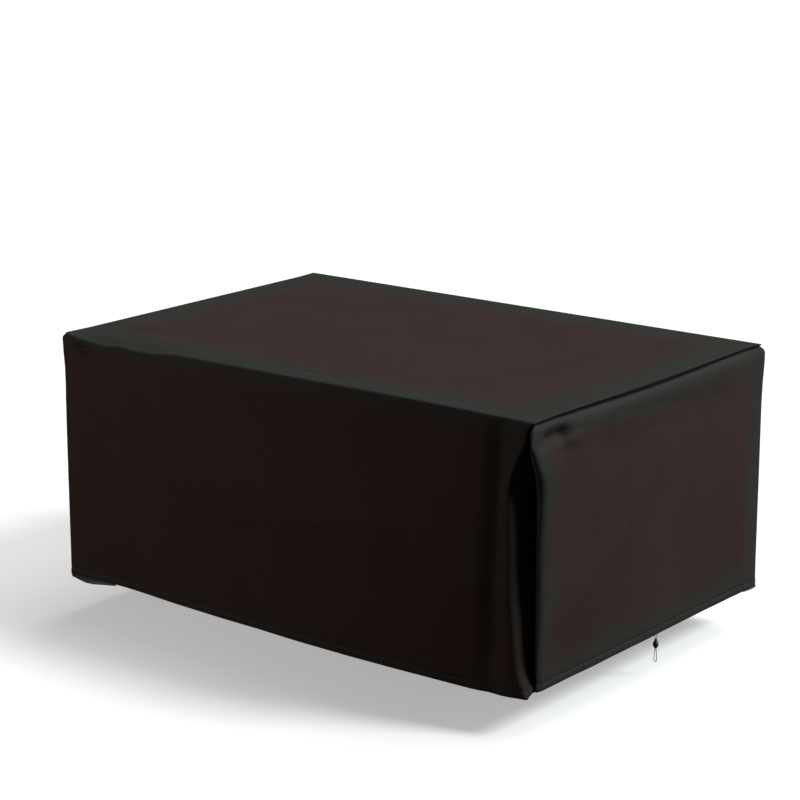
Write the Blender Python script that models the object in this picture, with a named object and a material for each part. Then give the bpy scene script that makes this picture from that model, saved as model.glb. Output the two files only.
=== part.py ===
"""Fitted cover for a long rectangular dining set: hollow, and open below.

Three cloths: one long cloth that is the front skirt, the top and the back skirt in one, and an end
cloth sewn into each of its ends. Each corner holds a deep upright fold with the seam at its bottom.
A draw cord leaves the hem of the right end in a loop, held by a cord lock.

Metres, +Z up. +X runs along the long side and -Y is the front. The origin lies under the middle of
the top, on the underside of the cloth, where what is covered carries it.
"""
import math
from bisect import bisect_right
from collections import namedtuple

import bmesh
import bpy
from mathutils import Matrix, Vector

# Driving dimensions
LENGTH = 2.28
WIDTH = 1.54
HEIGHT = 1.00
CLOTH = 0.002
HEM = 0.032
HEM_CLOTH = 0.004
SEAM_GAP = 0.0003
CORNER_GAP = 0.0006
CORNER_GAP_REACH = 0.02

HALF_LENGTH = LENGTH / 2
HALF_WIDTH = WIDTH / 2
TOP = CLOTH
SEAM_CLOTH = 1.3 * CLOTH

# Roll of the long top edges, and how far the end seams sit in from the end and hang in the middle
EDGE_ROLL = 0.024
END_INSET = {1: 0.011, -1: 0.004}
CORNER_INSET = 0.003
INSET_SPREAD = 0.15
END_ROUNDING = 0.06
END_LEAN = 0.3
SEAM_SAG = {1: 0.011, -1: 0.002}
CORNER_SPREAD = 0.07
CORNER_HANG_REACH = 0.12

# Corner folds, by distance down from the top. From the corner of the box: the seam lies "seam_along"
# along the side where the fold opens and "seam_in" in from it. The cloth of that side turns in at
# "main_ridge", the other cloth at "far_ridge" (under 0 it stands out past the corner). "main_roll"
# and "far_roll" are how softly they turn.
Fold = namedtuple("Fold", "down seam_along seam_in main_ridge far_ridge main_roll far_roll")
CORNER_FOLD = (
    Fold(0.000, 0.000, 0.004, 0.007, 0.005, 0.010, 0.008),
    Fold(0.035, 0.036, 0.008, 0.046, -0.008, 0.014, 0.018),
    Fold(0.085, 0.054, 0.018, 0.062, -0.014, 0.016, 0.028),
    Fold(0.145, 0.062, 0.055, 0.076, -0.004, 0.022, 0.020),
    Fold(0.210, 0.068, 0.092, 0.088, 0.014, 0.028, 0.016),
    Fold(0.280, 0.070, 0.108, 0.090, 0.019, 0.030, 0.016),
    Fold(0.500, 0.058, 0.100, 0.075, 0.004, 0.030, 0.018),
    Fold(0.700, 0.049, 0.090, 0.064, 0.000, 0.030, 0.018),
    Fold(0.900, 0.041, 0.075, 0.054, 0.000, 0.028, 0.018),
    Fold(1.000, 0.032, 0.055, 0.042, 0.003, 0.022, 0.014),
)

# One corner's fold at one level, seen from the long side: the seam, and each cloth's ridge and roll
Shape = namedtuple("Shape", "seam_along seam_in long_ridge end_ridge long_roll end_roll")

# Each corner: whether its fold opens on the long side (0) or on the end (1), how full it is, how much
# the far ridge sways and how far in it stands, how much deeper the fold runs at the hem, and how far
# its seam hangs there. A ridge that doesn't sway keeps the share STILL_ROLL of its roll.
Corner = namedtuple("Corner", "end side opens_end fullness sway stand deeper seam_drop")
CORNERS = (
    Corner(1, -1, 0.0, 1.00, 1.0, 0.000, 0.00, 0.004),
    Corner(-1, -1, 1.0, 1.10, 0.2, -0.010, 0.09, 0.037),
    Corner(1, 1, 0.0, 0.88, 0.2, -0.003, 0.00, 0.014),
    Corner(-1, 1, 0.0, 0.95, 0.6, 0.000, 0.02, 0.018),
)
STILL_ROLL = 0.4
DROP_HELD = 0.10
DROP_FADE = 0.35
DEEPER_ASKEW = 0.6
LOWER_PART = 0.60

# Where the front top edge and the hems stand above their plain level, or droop below it, by X or Y
Level = namedtuple("Level", "at rise")
FRONT_EDGE = (
    Level(-1.14, 0.000),
    Level(-1.05, -0.012),
    Level(-0.93, -0.019),
    Level(-0.70, -0.016),
    Level(-0.52, -0.004),
    Level(0.00, 0.000),
    Level(0.60, 0.004),
    Level(1.14, 0.002),
)
FRONT_EDGE_REACH = 0.10
HEM_LINES = {
    "front": (
        Level(-1.14, -0.011),
        Level(-1.00, -0.007),
        Level(-0.84, -0.002),
        Level(-0.57, -0.010),
        Level(-0.25, -0.012),
        Level(0.27, -0.016),
        Level(0.76, -0.016),
        Level(0.96, -0.015),
        Level(1.03, -0.011),
        Level(1.09, -0.008),
        Level(1.14, -0.008),
    ),
    "back": (
        Level(-1.14, -0.004),
        Level(-0.60, -0.012),
        Level(0.10, -0.010),
        Level(0.70, -0.015),
        Level(1.14, -0.001),
    ),
    "right": (
        Level(-0.77, 0.011),
        Level(-0.30, 0.012),
        Level(0.30, 0.012),
        Level(0.65, 0.010),
        Level(0.77, 0.006),
    ),
    "left": (
        Level(-0.77, -0.006),
        Level(-0.40, -0.010),
        Level(0.20, -0.004),
        Level(0.77, -0.003),
    ),
}

# Skirts: each face's name, and how far out its hem stands and where along it that is most
Skirt = namedtuple("Skirt", "name out middle")
SKIRTS = {
    ("long", -1): Skirt("front", 0.026, 0.25),
    ("long", 1): Skirt("back", 0.020, -0.20),
    ("end", 1): Skirt("right", 0.004, 0.00),
    ("end", -1): Skirt("left", 0.012, 0.10),
}
FLARE = 1.5

# Broad soft ridges (height over 0) and troughs, from one point of a face to another. The front and
# back are read along X and down, the ends along Y and down, the top along X and Y.
Swell = namedtuple("Swell", "from_a from_b to_a to_b height width")
SWELLS = {
    "front": (
        Swell(-0.76, 0.14, -0.48, 0.46, 0.006, 0.11),
        Swell(-0.48, 0.50, 0.40, 0.54, 0.005, 0.10),
        Swell(0.45, 0.48, 0.96, 0.66, 0.006, 0.10),
        Swell(0.95, 0.15, 0.92, 0.80, -0.006, 0.05),
        Swell(1.03, 0.12, 1.03, 0.27, 0.006, 0.03),
        Swell(-0.20, 0.20, 0.60, 0.25, -0.005, 0.14),
        Swell(-1.10, 0.05, -1.05, 0.08, -0.012, 0.04),
    ),
    "back": (
        Swell(-0.80, 0.20, -0.30, 0.70, 0.006, 0.12),
        Swell(0.15, 0.25, 0.75, 0.60, 0.006, 0.12),
        Swell(-0.10, 0.35, -0.05, 0.90, -0.005, 0.10),
    ),
    "right": (
        Swell(-0.69, 0.065, -0.60, 0.075, -0.009, 0.035),
        Swell(-0.66, 0.13, -0.50, 0.11, 0.005, 0.030),
        Swell(-0.46, 0.72, 0.05, 0.30, 0.006, 0.10),
        Swell(-0.30, 0.18, 0.50, 0.17, -0.006, 0.09),
        Swell(0.66, 0.45, 0.66, 0.92, 0.005, 0.10),
        Swell(0.20, 0.75, 0.45, 0.42, -0.005, 0.10),
    ),
    "left": (
        Swell(-0.50, 0.60, 0.10, 0.25, 0.006, 0.11),
        Swell(0.20, 0.80, 0.50, 0.30, 0.005, 0.10),
        Swell(-0.20, 0.75, 0.05, 0.95, -0.006, 0.10),
    ),
    "top": (
        Swell(-0.95, -0.30, -0.42, 0.05, -0.004, 0.20),
        Swell(0.45, -0.15, 0.90, 0.15, -0.005, 0.20),
        Swell(-0.45, 0.45, 0.35, 0.48, 0.003, 0.15),
    ),
}
SWELL_FADE = 0.10
SWELL_START = 0.03

# Grid lines: distances down a skirt, and in from a corner along a top edge. Near a corner the lines
# follow the fold's path. Those of "BETWEEN" share out the way from there to the next line.
SKIRT_ROWS = (HEIGHT, HEIGHT - HEM, HEIGHT - HEM - 0.012, 0.90, 0.80, 0.70, 0.60, 0.50, 0.40, 0.28,
              0.21, 0.145, 0.115, 0.085, 0.055, EDGE_ROLL, EDGE_ROLL / 2, 0.0)
PATH_STEPS = (0.0, 0.2, 0.4, 0.6, 0.8, 1.0)
PATH_TOP = (0.0, 0.004, 0.008, 0.012, 0.017, EDGE_ROLL)
LONG_BETWEEN = (0.5,)
LONG_COLUMNS = (0.17, 0.27, 0.41, 0.60, 0.86, HALF_LENGTH)
END_BETWEEN = (0.3, 0.65)
END_COLUMNS = (0.17, 0.30, 0.46, 0.62, HALF_WIDTH)
WALL_SHARE = 0.4
WALL_TURN = 0.6
SEAM_STEP = 0.005

# Draw cord and its lock. "aside" is across the loop, "turn" how far round it is twisted, in degrees.
CORD_DIAMETER = 0.0025
CORD_Y = 0.037
LOCK_TURN = 52.0
Route = namedtuple("Route", "aside turn down")
CORD_ROUTE = (
    Route(0.0080, 0.0, 0.000),
    Route(0.0078, 0.0, 0.003),
    Route(0.0056, 14.0, 0.008),
    Route(0.0028, 34.0, 0.013),
    Route(0.0016, 48.0, 0.018),
    Route(0.0015, LOCK_TURN, 0.026),
    Route(0.0015, LOCK_TURN, 0.040),
    Route(0.0016, LOCK_TURN, 0.053),
    Route(0.0026, LOCK_TURN, 0.063),
    Route(0.0038, LOCK_TURN, 0.074),
    Route(0.0048, LOCK_TURN, 0.086),
    Route(0.0052, LOCK_TURN, 0.098),
    Route(0.0037, LOCK_TURN, 0.1045),
)
CORD_END_DOWN = 0.1065
CORD_STEP = 0.0055
CORD_FIT = 0.0008

LOCK_TOP = 0.0175
LOCK_BORE = 0.0033
LOCK_SIDES = 20
Turning = namedtuple("Turning", "below radius")
LOCK_OUTLINE = (
    Turning(0.000, 0.0044),
    Turning(0.001, 0.0050),
    Turning(0.006, 0.0056),
    Turning(0.011, 0.0078),
    Turning(0.016, 0.0102),
    Turning(0.021, 0.0110),
    Turning(0.026, 0.0102),
    Turning(0.031, 0.0076),
    Turning(0.035, 0.0056),
    Turning(0.036, 0.0046),
)
BUTTON_BELOW = 0.021
BUTTON_RADIUS = 0.0045
BUTTON_START = 0.0062
BUTTON_END = 0.0135
BUTTON_EDGE = 0.0008
FIT = 0.0003


def through(rows, column, at):
    """Read a table's column between its rows, on one smooth curve through them."""
    keys = [row[0] for row in rows]
    values = [getattr(row, column) for row in rows]
    if at <= keys[0]:
        return values[0]
    if at >= keys[-1]:
        return values[-1]
    low = bisect_right(keys, at) - 1
    span = keys[low + 1] - keys[low]
    slopes = []
    for place in (low, low + 1):
        before = max(place - 1, 0)
        after = min(place + 1, len(rows) - 1)
        slopes.append((values[after] - values[before]) / (keys[after] - keys[before]))
    t = (at - keys[low]) / span
    rise = values[low + 1] - values[low]
    curve = span * (slopes[0] * (1 - t) - slopes[1] * t)
    tilt = rise * (1 - 2 * t)
    return values[low] + rise * t + t * (1 - t) * (curve - tilt)


def ease(t):
    """Go smoothly from 0 to 1."""
    t = min(max(t, 0.0), 1.0)
    return t * t * (3 - 2 * t)


def blend(a, corner, b, t):
    """Round a corner: a quadratic curve from a to b that turns at the corner."""
    return a * (1 - t) ** 2 + corner * (2 * t * (1 - t)) + b * t ** 2


def swell(face, a, b):
    """Height of a face's broad ridges and troughs at one of its points."""
    height = 0.0
    here = Vector((a, b))
    for ridge in SWELLS[face]:
        start = Vector((ridge.from_a, ridge.from_b))
        run = Vector((ridge.to_a, ridge.to_b)) - start
        along = min(max((here - start).dot(run) / run.length_squared, 0.0), 1.0)
        away = (here - start - run * along).length
        height += ridge.height * math.exp(-((away / ridge.width) ** 2))
    return height


def mix(start, end, share):
    """Go a share of the way from start to end."""
    return start + (end - start) * share


def end_inset(end, down, across):
    """How far an end's cloth sits in from the end, where it curves over to its top seam."""
    rounding = max(1 - max(down, 0.0) / END_ROUNDING, 0.0) ** 2
    return mix(CORNER_INSET, END_INSET[end], ease(across / INSET_SPREAD)) * rounding


def lower_share(down):
    """How far a level lies down the lower part of the skirts, from 0 to 1 at the hem."""
    return ease((down - LOWER_PART) / (HEIGHT - LOWER_PART))


def corner_at(end, side):
    """Find a corner's row."""
    return next(row for row in CORNERS if (row.end, row.side) == (end, side))


def fold_at(end, side, down):
    """Shape of a corner's fold at a distance down; the top of the end keeps the first row's shape."""
    corner = corner_at(end, side)
    grown = ease(down / CORNER_SPREAD)
    fullness = mix(1, corner.fullness, grown)
    fold = {name: through(CORNER_FOLD, name, down) * fullness for name in Fold._fields[1:]}
    fold["far_ridge"] = fold["far_ridge"] * mix(1, corner.sway, grown) + corner.stand * grown
    fold["far_roll"] *= mix(1, mix(STILL_ROLL, 1, corner.sway), grown)
    fold["seam_in"] += corner.deeper * lower_share(down)
    fold["seam_along"] += corner.deeper * DEEPER_ASKEW * lower_share(down)
    if down < 0:
        fold["seam_in"] += SEAM_SAG[end] * math.sin(math.pi * -down / WIDTH) ** 2
    turned = corner.opens_end if down > 0 else 0.0
    shape = []
    for first, second in (("seam_along", "seam_in"), ("main_ridge", "far_ridge"), ("main_roll", "far_roll")):
        shape.append(mix(fold[first], fold[second], turned))
        shape.append(mix(fold[second], fold[first], turned))
    shape = Shape(*shape)
    inset = end_inset(end, down, max(-down, 0.0))
    return shape._replace(seam_along=shape.seam_along + inset, long_ridge=shape.long_ridge + inset)


def long_profile(side, down):
    """Section of the long cloth across Y and Z, and the way in, where nothing else bends it.

    Down the skirt the distance is over 0; across the top it is under 0, in from the long edge.
    """
    low = Vector((-HALF_WIDTH, TOP - EDGE_ROLL))
    edge = Vector((-HALF_WIDTH, TOP))
    flat = Vector((-HALF_WIDTH + EDGE_ROLL, TOP))
    if down >= EDGE_ROLL:
        point, inward = Vector((-HALF_WIDTH, TOP - down)), Vector((1, 0))
    elif down <= -EDGE_ROLL:
        point, inward = Vector((-HALF_WIDTH - down, TOP)), Vector((0, -1))
    else:
        t = (EDGE_ROLL - down) / (2 * EDGE_ROLL)
        point = blend(low, edge, flat, t)
        run = ((edge - low) * (1 - t) + (flat - edge) * t).normalized()
        inward = Vector((run.y, -run.x))
    return Vector((-side * point.x, point.y)), Vector((-side * inward.x, inward.y))


def path(seam, ridge, roll, t):
    """Way from the seam out to the ridge and on along the side, as (along, in)."""
    seam, ridge = Vector(seam), Vector((ridge, 0))
    wall = seam - ridge
    turn_in = min(roll, WALL_TURN * wall.length)
    inner = ridge + wall.normalized() * turn_in
    if t <= WALL_SHARE:
        return seam.lerp(inner, t / WALL_SHARE)
    return blend(inner, ridge, ridge + Vector((roll, 0)), (t - WALL_SHARE) / (1 - WALL_SHARE))


def line_place(seam, ridge, roll, step, between, columns):
    """Place of a grid line beside a corner, as (along, in), and how clear of the fold it is, to 1."""
    if step < len(PATH_STEPS):
        return path(seam, ridge, roll, PATH_STEPS[step]), ease(PATH_STEPS[step])
    step -= len(PATH_STEPS)
    if step < len(between):
        return Vector((mix(ridge + roll, columns[0], between[step]), 0)), 1.0
    return Vector((columns[step - len(between)], 0)), 1.0


def top_stations():
    """Distances in from a long edge at which an end cloth's lines meet its top seam."""
    between = [mix(PATH_TOP[-1], END_COLUMNS[0], share) for share in END_BETWEEN]
    return [*PATH_TOP, *between, *END_COLUMNS]


def long_point(end, side, down, along, inward):
    """Point of the long cloth, from its place along the side and in from it."""
    middle, way_in = long_profile(side, down)
    across = middle + way_in * inward
    return Vector((end * (HALF_LENGTH - along), across.x, across.y))


def skirt_shift(kind, face, place, down):
    """How far a skirt stands out and how far it hangs, at a place along it."""
    skirt = SKIRTS[kind, face]
    half = HALF_LENGTH if kind == "long" else HALF_WIDTH
    share = max(down, 0.0) / HEIGHT
    away = min(abs(place - skirt.middle) / (half + abs(skirt.middle)), 1)
    out = skirt.out * math.cos(math.pi / 2 * away) ** 2 * share ** FLARE
    return out, -through(HEM_LINES[skirt.name], "rise", place) * share ** 2


def settle_long(point, end, side, down, clear, free):
    """Lay the long cloth's soft unevenness over its plain shape."""
    if down > 0:
        out, fall = skirt_shift("long", side, point.x, down)
        uneven = swell(SKIRTS["long", side].name, point.x, down) * ease(down / SWELL_START)
        point.y += side * (out + uneven) * free
        drop = corner_at(end, side).seam_drop * lower_share(down)
        point.z -= fall + drop * (1 - ease((clear - DROP_HELD) / DROP_FADE))
    else:
        point.z += swell("top", point.x, point.y) * free * ease(-down / SWELL_FADE)
    if side < 0:
        point.z += through(FRONT_EDGE, "rise", point.x) * ease(1 - abs(down) / FRONT_EDGE_REACH)
    return point


def seam_point(end, side, down):
    """Point of the seam that both cloths share."""
    shape = fold_at(end, side, down)
    point = long_point(end, side, down, shape.seam_along, shape.seam_in)
    return settle_long(point, end, side, down, 0.0, 0.0)


def long_cloth_point(end, side, down, step):
    """Point of the long cloth on a grid line: near its end on the fold's path, then along the side."""
    if step == 0:
        return seam_point(end, side, down)
    shape = fold_at(end, side, down)
    seam = (shape.seam_along, shape.seam_in)
    place, clear = line_place(seam, shape.long_ridge, shape.long_roll, step, LONG_BETWEEN, LONG_COLUMNS)
    point = long_point(end, side, down, *place)
    return settle_long(point, end, side, down, clear, clear * ease(place.x / SWELL_FADE))


def end_cloth_point(end, side, down, step):
    """Point of an end cloth on a grid line: from the corner's seam, or along the top seam."""
    if step == 0:
        return seam_point(end, side, down)
    station = top_stations()[step]
    if down == 0:
        return seam_point(end, side, -station)
    shape = fold_at(end, side, down)
    seam = (shape.seam_in, shape.seam_along - end_inset(end, down, 0.0))
    place, clear = line_place(seam, shape.end_ridge, shape.end_roll, step, END_BETWEEN, END_COLUMNS)
    inset = end_inset(end, down, place.x)
    y = side * (HALF_WIDTH - place.x)
    out, fall = skirt_shift("end", end, y, down)
    uneven = swell(SKIRTS["end", end].name, y, down) * ease(down / SWELL_START)
    out = (out + uneven) * clear * ease(place.x / SWELL_FADE)
    hang = TOP - seam_point(end, side, -station).z
    fall += hang * ease(1 - down / CORNER_HANG_REACH)
    seam_fall = TOP - down - seam_point(end, side, down).z
    z = TOP - down - mix(seam_fall, fall, clear)
    return Vector((end * (HALF_LENGTH - inset - place.y + out), y, z))


def seam_frame(end, side, down):
    """Way in at the seam, and the way from the end cloth to the long cloth, both square to it."""
    above, below = seam_point(end, side, down - SEAM_STEP), seam_point(end, side, down + SEAM_STEP)
    run = (above - below).normalized() * -side
    shape = fold_at(end, side, down)
    seam = (shape.seam_along, shape.seam_in)
    beside = path(seam, shape.long_ridge, shape.long_roll, WALL_SHARE / 2)
    to_long = (long_point(end, side, down, *beside) - long_point(end, side, down, *seam)).normalized()
    to_end = Vector((end * END_LEAN, 0, -1)).normalized()
    if down > 0:
        beside = path(seam[::-1], shape.end_ridge, shape.end_roll, WALL_SHARE / 2) - Vector(seam[::-1])
        level = Vector((-end * beside.y, -side * beside.x, 0)).normalized()
        to_end = level.lerp(to_end, ease(1 - down / EDGE_ROLL)).normalized()
    apart = to_long - to_end
    apart = (apart - run * apart.dot(run)).normalized()
    return apart.cross(run).normalized() * end, apart


def clear_scene():
    """Start from an empty scene."""
    for item in list(bpy.data.objects):
        bpy.data.objects.remove(item, do_unlink=True)


def finish(name, colour, roughness, metallic=0.0):
    """Make a plain surface finish."""
    material = bpy.data.materials.new(name)
    material.use_nodes = True
    shader = material.node_tree.nodes["Principled BSDF"]
    shader.inputs["Base Color"].default_value = (*colour, 1)
    shader.inputs["Roughness"].default_value = roughness
    shader.inputs["Metallic"].default_value = metallic
    return material


def cloth_finish():
    """Black coated polyester weave with a slight sheen."""
    return finish("cover_cloth", (0.020, 0.018, 0.017), 0.62)


def cord_finish():
    """Braided dark grey cord."""
    return finish("draw_cord", (0.030, 0.028, 0.030), 0.80)


def lock_finish():
    """Black moulded plastic."""
    return finish("lock_plastic", (0.008, 0.008, 0.009), 0.40)


def place_object(name, mesh, material):
    """Put a mesh into the scene as a named piece."""
    mesh.materials.append(material)
    piece = bpy.data.objects.new(name, mesh)
    bpy.context.scene.collection.objects.link(piece)
    return piece


def mesh_piece(name, bm, material, smooth_angle):
    """Turn a finished bmesh into a named piece, smooth up to an angle."""
    bmesh.ops.recalc_face_normals(bm, faces=bm.faces[:])
    mesh = bpy.data.meshes.new(name)
    bm.to_mesh(mesh)
    bm.free()
    mesh.shade_smooth()
    mesh.set_sharp_from_angle(angle=math.radians(smooth_angle))
    return place_object(name, mesh, material)


def seam_gap(down):
    """Gap between the two cloths of a seam, a little wider where it turns a top corner."""
    return SEAM_GAP + CORNER_GAP * math.exp(-((down / CORNER_GAP_REACH) ** 2))


def drape_cloth(columns, rows, point_at, seam_at, seam_side):
    """Lay a flat grid of cloth on the points of its columns and rows, and thicken it on the inside.

    The last value of a row is its distance down. Along a seam the cut edge follows the way in that
    both cloths share, half a gap to its own side.
    """
    bm = bmesh.new()
    bmesh.ops.create_grid(bm, x_segments=len(columns) - 1, y_segments=len(rows) - 1, size=1)
    inward = bm.verts.layers.float_vector.new("inward")
    thickness = bm.verts.layers.float.new("thickness")
    for vert in bm.verts:
        column = columns[round((vert.co.x + 1) / 2 * (len(columns) - 1))]
        row = rows[round((vert.co.y + 1) / 2 * (len(rows) - 1))]
        vert.co = point_at(column, row)
        vert[thickness] = HEM_CLOTH if row[-1] >= HEIGHT - HEM else CLOTH
        seam = seam_at(column, row)
        if seam:
            way_in, apart = seam_frame(*seam)
            vert[inward] = way_in * SEAM_CLOTH
            vert.co += apart * (seam_side * seam_gap(seam[-1]) / 2)
    bm.normal_update()
    for vert in bm.verts:
        if not vert[inward].length:
            vert[inward] = vert.normal * -vert[thickness]
    shell = bmesh.ops.extrude_face_region(bm, geom=bm.faces[:], use_keep_orig=True)
    for vert in shell["geom"]:
        if isinstance(vert, bmesh.types.BMVert):
            vert.co += vert[inward]
    return bm


def long_cloth():
    """Front skirt, top and back skirt in one cloth."""
    steps = len(PATH_STEPS) + len(LONG_BETWEEN) + len(LONG_COLUMNS)
    columns = [(-1, step) for step in range(steps)]
    columns += [(1, step) for step in reversed(range(steps - 1))]
    stations = top_stations()
    rows = [(-1, down) for down in SKIRT_ROWS[:-1]] + [(-1, -station) for station in stations]
    rows += [(1, -station) for station in reversed(stations[:-1])]
    rows += [(1, down) for down in reversed(SKIRT_ROWS[:-1])]

    def point_at(column, row):
        return long_cloth_point(column[0], *row, column[1])

    def seam_at(column, row):
        return (column[0], *row) if column[1] == 0 else None

    bm = drape_cloth(columns, rows, point_at, seam_at, 1)
    return mesh_piece("long_cloth", bm, cloth_finish(), 50)


def end_cloth(name, end):
    """Cloth of one end, from hem to top seam."""
    stations = top_stations()
    columns = [(-1, step) for step in range(len(stations))]
    columns += [(1, step) for step in reversed(range(len(stations) - 1))]
    columns = columns[::end]

    def point_at(column, row):
        return end_cloth_point(end, column[0], row[0], column[1])

    def seam_at(column, row):
        if column[1] == 0:
            return end, column[0], row[0]
        return (end, column[0], -stations[column[1]]) if row[0] == 0 else None

    bm = drape_cloth(columns, [(down,) for down in SKIRT_ROWS], point_at, seam_at, -1)
    return mesh_piece(name, bm, cloth_finish(), 50)


def hem_bottom():
    """Place in the middle of the right end's hem, under which the cord hangs."""
    out, fall = skirt_shift("end", 1, CORD_Y, HEIGHT)
    out += swell(SKIRTS["end", 1].name, CORD_Y, HEIGHT)
    return Vector((HALF_LENGTH + out - HEM_CLOTH / 2, CORD_Y, TOP - HEIGHT - fall))


def cord_point(place, sign):
    """Point of the cord's route below the hem, on one strand or the other."""
    turn = math.radians(place.turn)
    aside = sign * place.aside
    return Vector((aside * math.sin(turn), aside * math.cos(turn), -place.down))


def smooth_through(points, step):
    """Points at even steps on one smooth curve through the route's own points."""
    dense = []
    for low in range(len(points) - 1):
        before = points[max(low - 1, 0)]
        start, end = points[low], points[low + 1]
        after = points[min(low + 2, len(points) - 1)]
        for part in range(12):
            t = part / 12
            flat = start * (1 - t) + end * t
            lift_start = (end - before) / 2
            lift_end = (after - start) / 2
            rise = end - start
            bow = lift_start * (1 - t) - lift_end * t - rise * (1 - 2 * t)
            dense.append(flat + bow * (t * (1 - t)))
    dense.append(points[-1])
    lengths = [0.0]
    for first, second in zip(dense, dense[1:]):
        lengths.append(lengths[-1] + (second - first).length)
    count = max(round(lengths[-1] / step), 2)
    even = []
    for part in range(count + 1):
        at = lengths[-1] * part / count
        low = min(bisect_right(lengths, at) - 1, len(dense) - 2)
        share = (at - lengths[low]) / (lengths[low + 1] - lengths[low])
        even.append(dense[low].lerp(dense[low + 1], share))
    return even


def cord_route():
    """Route of the cord: down one strand, round the bottom of the loop and up the other."""
    root = hem_bottom() - Vector((0, 0, CORD_FIT))
    down = [root + cord_point(place, -1) for place in CORD_ROUTE]
    up = [root + cord_point(place, 1) for place in reversed(CORD_ROUTE)]
    return down + [root - Vector((0, 0, CORD_END_DOWN))] + up


def draw_cord():
    """Loop of cord below the hem."""
    curve = bpy.data.curves.new("draw_cord", "CURVE")
    curve.dimensions = "3D"
    curve.bevel_depth = CORD_DIAMETER / 2
    curve.bevel_resolution = 2
    curve.use_fill_caps = True
    points = smooth_through(cord_route(), CORD_STEP)
    spline = curve.splines.new("POLY")
    spline.points.add(len(points) - 1)
    for point, place in zip(spline.points, points):
        point.co = (*place, 1)
    curve.materials.append(cord_finish())
    piece = bpy.data.objects.new("draw_cord", curve)
    bpy.context.scene.collection.objects.link(piece)
    return piece


def lock_origin():
    """Top of the cord lock."""
    return hem_bottom() - Vector((0, 0, LOCK_TOP))


def round_bar(radius, start, end, edge):
    """Round bar that points sideways out of the lock, square to the strands, with a rounded tip."""
    bm = bmesh.new()
    bmesh.ops.create_cone(bm, cap_ends=True, segments=LOCK_SIDES, radius1=radius, radius2=radius,
                          depth=end - start, matrix=Matrix.Translation((0, 0, (start + end) / 2)))
    if edge:
        rim = [line for line in bm.edges if all(vert.co.z > (start + end) / 2 for vert in line.verts)]
        bmesh.ops.bevel(bm, geom=rim, offset=edge, offset_type="OFFSET", segments=2, profile=0.5,
                        affect="EDGES", clamp_overlap=True, material=-1)
    aim = Matrix.Rotation(math.radians(-LOCK_TURN), 4, "Z") @ Matrix.Rotation(math.pi / 2, 4, "Y")
    middle = lock_origin() - Vector((0, 0, BUTTON_BELOW))
    bmesh.ops.transform(bm, matrix=Matrix.Translation(middle) @ aim, verts=bm.verts[:])
    return bm


def lock_shell():
    """Turned barrel of the cord lock, bored for both strands and with a socket for its button."""
    bm = bmesh.new()
    origin = lock_origin()
    outline = [Vector((row.radius, 0, -row.below)) for row in LOCK_OUTLINE]
    outline += [Vector((LOCK_BORE, 0, -LOCK_OUTLINE[-1].below)), Vector((LOCK_BORE, 0, 0))]
    verts = [bm.verts.new(origin + place) for place in outline]
    edges = [bm.edges.new((verts[low], verts[low - 1])) for low in range(len(verts))]
    bmesh.ops.spin(bm, geom=verts + edges, cent=origin, axis=(0, 0, 1), angle=2 * math.pi,
                   steps=LOCK_SIDES, use_merge=True)
    bmesh.ops.remove_doubles(bm, verts=bm.verts[:], dist=0.00001)
    shell = mesh_piece("lock_shell", bm, lock_finish(), 40)
    bar = round_bar(BUTTON_RADIUS + FIT, BUTTON_START - FIT, BUTTON_END, 0)
    cutter = mesh_piece("lock_socket_cutter", bar, lock_finish(), 40)
    cutter.hide_render = True
    cutter.display_type = "WIRE"
    socket = shell.modifiers.new("socket", "BOOLEAN")
    socket.operation = "DIFFERENCE"
    socket.solver = "EXACT"
    socket.object = cutter
    return shell


def lock_button():
    """Press button of the cord lock, sprung out of its socket."""
    bm = round_bar(BUTTON_RADIUS, BUTTON_START, BUTTON_END, BUTTON_EDGE)
    return mesh_piece("lock_button", bm, lock_finish(), 40)


def build():
    """Make every piece of the cover."""
    clear_scene()
    long_cloth()
    end_cloth("end_cloth_right", 1)
    end_cloth("end_cloth_left", -1)
    draw_cord()
    lock_shell()
    lock_button()


build()
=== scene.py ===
"""Dressed model of a fitted rectangular patio cover.

Three cloths hang as in use: one long cloth that is the front skirt, the top and the back skirt, and
an end cloth sewn into each of its ends. Each corner holds a deep upright fold with the seam at its
bottom. A draw cord leaves the hem of the right end in a loop, held by a cord lock.

Metres, +Z up. +X runs along the long side and -Y is the front. The origin lies under the middle of
the top.
"""
import logging
import math
from bisect import bisect_right
from dataclasses import dataclass
from enum import Enum, IntEnum
from typing import Any, NamedTuple, Optional, Sequence

import bmesh
import bpy
from mathutils import Matrix, Vector, noise


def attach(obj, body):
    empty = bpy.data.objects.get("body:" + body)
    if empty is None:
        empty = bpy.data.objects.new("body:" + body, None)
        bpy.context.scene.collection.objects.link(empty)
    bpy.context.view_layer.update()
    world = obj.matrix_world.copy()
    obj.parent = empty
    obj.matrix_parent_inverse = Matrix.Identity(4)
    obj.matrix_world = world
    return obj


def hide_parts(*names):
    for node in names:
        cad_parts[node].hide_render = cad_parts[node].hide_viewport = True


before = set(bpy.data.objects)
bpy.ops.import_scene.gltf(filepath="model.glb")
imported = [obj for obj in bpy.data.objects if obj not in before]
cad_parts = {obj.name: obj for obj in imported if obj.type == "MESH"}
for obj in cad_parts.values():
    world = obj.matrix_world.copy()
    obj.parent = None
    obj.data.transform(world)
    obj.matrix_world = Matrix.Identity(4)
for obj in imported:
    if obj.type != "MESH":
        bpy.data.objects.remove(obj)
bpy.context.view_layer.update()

LOG = logging.getLogger("cover")
ROOT = "root"
PLAIN_LIGHT = (1.0, 1.0, 1.0)


def table(kind: Any, *rows: Sequence[float]) -> tuple[Any, ...]:
    """Make named rows out of plain ones."""
    return tuple(kind(*row) for row in rows)


class End(IntEnum):
    """Ends of the cover, by their side of X."""

    RIGHT = 1
    LEFT = -1


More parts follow.
